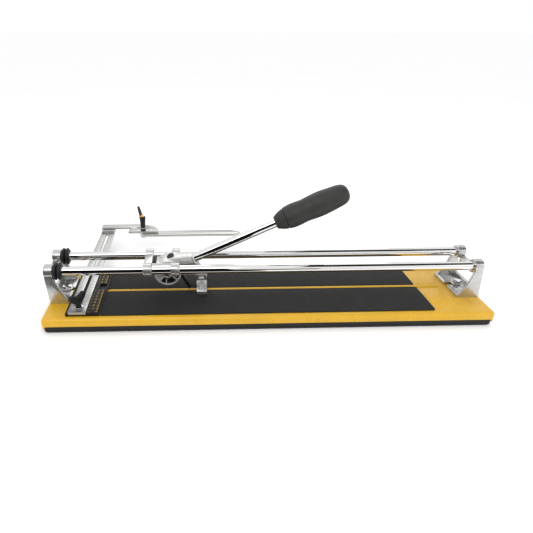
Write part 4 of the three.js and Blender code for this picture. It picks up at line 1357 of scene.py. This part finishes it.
def make_gauge():
    stand_in("slotted_arm", slotted_arm(), SATIN_Y)
    detail("arm_marks", arm_marks(), ENGRAVED, "gauge_arm")
    detail("arm_numerals", arm_numerals(), ENGRAVED, "gauge_arm")
    x, y, z = span("arm_spacer")
    stand_in("arm_spacer", block(x, y, z, 0.5, 1.0), SATIN_X)
    stand_in("gauge_head", gauge_head(), SATIN_X)
    detail("head_marks", head_marks(), ENGRAVED, "gauge_arm")
    stand_in("fence", fence_bar(), SATIN_X)
    place = (*SWIVEL, 0)
    stand_in("fence_stud", headed_stud("fence_stud", place, 6.4, 4.5, 0.5), ZINC)
    nut = hex_head("Z", *span("stud_nut")[2], 11, place, STUD_BORE)
    stand_in("stud_nut", nut, DARK_STEEL)
    washer = tube("Z", *span("lever_washer")[2], 7.1, STUD_BORE, place, 0.4)
    stand_in("lever_washer", washer, ZINC)
    stand_in("clamp_lever", clamp_lever(), BLACK)
    low, high = span("lever_cap")[2]
    cap = soften([(low, 0), (low, 4.6), (high, 3.8), (high - 0.1, 0)], [0, 0.3, 0.9, 0], 4)
    stand_in("lever_cap", along("Z", turned(cap, 64), place), CAP)
    for label in ("left", "right"):
        x, y, z = span(f"head_screw_{label}")
        at = (middle(x), middle(y), 0)
        screw = combine(rod("Z", z[0], 30, 4.3, at, 0.6), rod("Z", 29, z[1], 2.5, at, 0.4))
        stand_in(f"head_screw_{label}", screw, ZINC)


# ---- the CAD nodes that stay ----
def dress_cad_nodes():
    """Gives each CAD node that still shows its own finish."""
    for end in ("left", "right"):
        finishes = {f"bracket_nut_{end}": ZINC}
        for side in ("front", "back"):
            finishes[f"rail_screw_{end}_{side}"] = DARK_STEEL
        for node, finish in finishes.items():
            for entry in frame["nodes"][node].material_slots:
                entry.material = finish


# ---- stage ----
WORLD_STRENGTH = 1.0
FLOOR_REACH = 60
FLOOR_DROP = -0.0002
# Dark boards in front: name, span in X, height, how near its floor part comes, tone.
FLAGS = [
    ("left", (-2.5, 0.02), 1.25, -0.14, 0.008),
    ("middle", (0.02, 0.45), 0.36, -0.42, 0.12),
]
FLAG_Y = -1.2
FLAG_LOW = 0.004
# A dark board overhead, for the right end: span in X, span in Y, height, tone.
CANOPY = ((0.28, 2.0), (-0.7, 0.1), 0.85, 0.02)
# A grey board behind: span in X, its Y, span in Z, tone.
BACKDROP = ((-2.5, 2.5), 1.5, (0, 0.35), 0.3)
# Soft lights: name, place, size, power in watts.
LIGHTS = [
    ("key", (-0.6, -1.3, 1.6), (1.4, 1.0), 10),
    ("fill", (1.4, -0.6, 1.1), (1.0, 1.0), 4),
    ("back", (0.2, 1.5, 1.3), (1.8, 0.6), 6),
]
LIGHT_TARGET = Vector((0, 0, 0.03))


def soft_light(name, place, size, power):
    data = bpy.data.lights.new(name, "AREA")
    data.shape = "RECTANGLE"
    data.size, data.size_y = size
    data.energy = power
    aim = (LIGHT_TARGET - Vector(place)).to_track_quat("-Z", "Y")
    placed(name, data).matrix_world = Matrix.Translation(place) @ aim.to_matrix().to_4x4()


def make_world():
    """An even white studio."""
    world = bpy.data.worlds.new("studio")
    bpy.context.scene.world = world
    world.use_nodes = True
    background = world.node_tree.nodes["Background"]
    background.inputs["Color"].default_value = (1, 1, 1, 1)
    background.inputs["Strength"].default_value = WORLD_STRENGTH


def flag_finish(name, tone):
    material = bpy.data.materials.new(name)
    material.use_nodes = True
    nodes, links = material.node_tree.nodes, material.node_tree.links
    nodes.clear()
    glow = nodes.new("ShaderNodeEmission")
    glow.inputs["Color"].default_value = (tone, tone, tone, 1)
    output = nodes.new("ShaderNodeOutputMaterial")
    links.new(glow.outputs["Emission"], output.inputs["Surface"])
    return material


def lying(x, y, z):
    return [(x[0], y[0], z), (x[1], y[0], z), (x[1], y[1], z), (x[0], y[1], z)]


def standing(x, y, z):
    return [(x[0], y, z[0]), (x[1], y, z[0]), (x[1], y, z[1]), (x[0], y, z[1])]


def sheet(name, corners, finish):
    """One flat face, from its corners in metres."""
    shape = bmesh.new()
    shape.faces.new([shape.verts.new(Vector(corner) / MM) for corner in corners])
    return new_object(name, shape, finish)


def flag(name, corners, tone):
    """A studio flag that only shows as a reflection in the bright metal."""
    board = sheet(f"flag_{name}", corners, flag_finish(f"flag_{name}", tone))
    board.visible_camera = False
    board.visible_diffuse = False
    board.visible_shadow = False
    board.visible_transmission = False


def make_stage():
    """White paper floor, white surroundings, three soft lights and the flags."""
    reach = (-FLOOR_REACH, FLOOR_REACH)
    floor = sheet("floor", lying(reach, reach, 0), floor_finish())
    floor.location.z = FLOOR_DROP
    make_world()
    bpy.context.scene.view_settings.view_transform = "Standard"
    for name, x, top, near, tone in FLAGS:
        flag(name, standing(x, FLAG_Y, (FLAG_LOW, top)), tone)
        flag(f"{name}_low", lying(x, (FLAG_Y, near), FLAG_LOW), tone)
    flag("canopy", lying(*CANOPY[:3]), CANOPY[3])
    flag("back", standing(*BACKDROP[:3]), BACKDROP[3])
    for light in LIGHTS:
        soft_light(*light)


make_camera()
make_stage()
make_base()
make_brackets()
make_carriage()
make_lever()
make_tray()
make_gauge()
dress_cad_nodes()
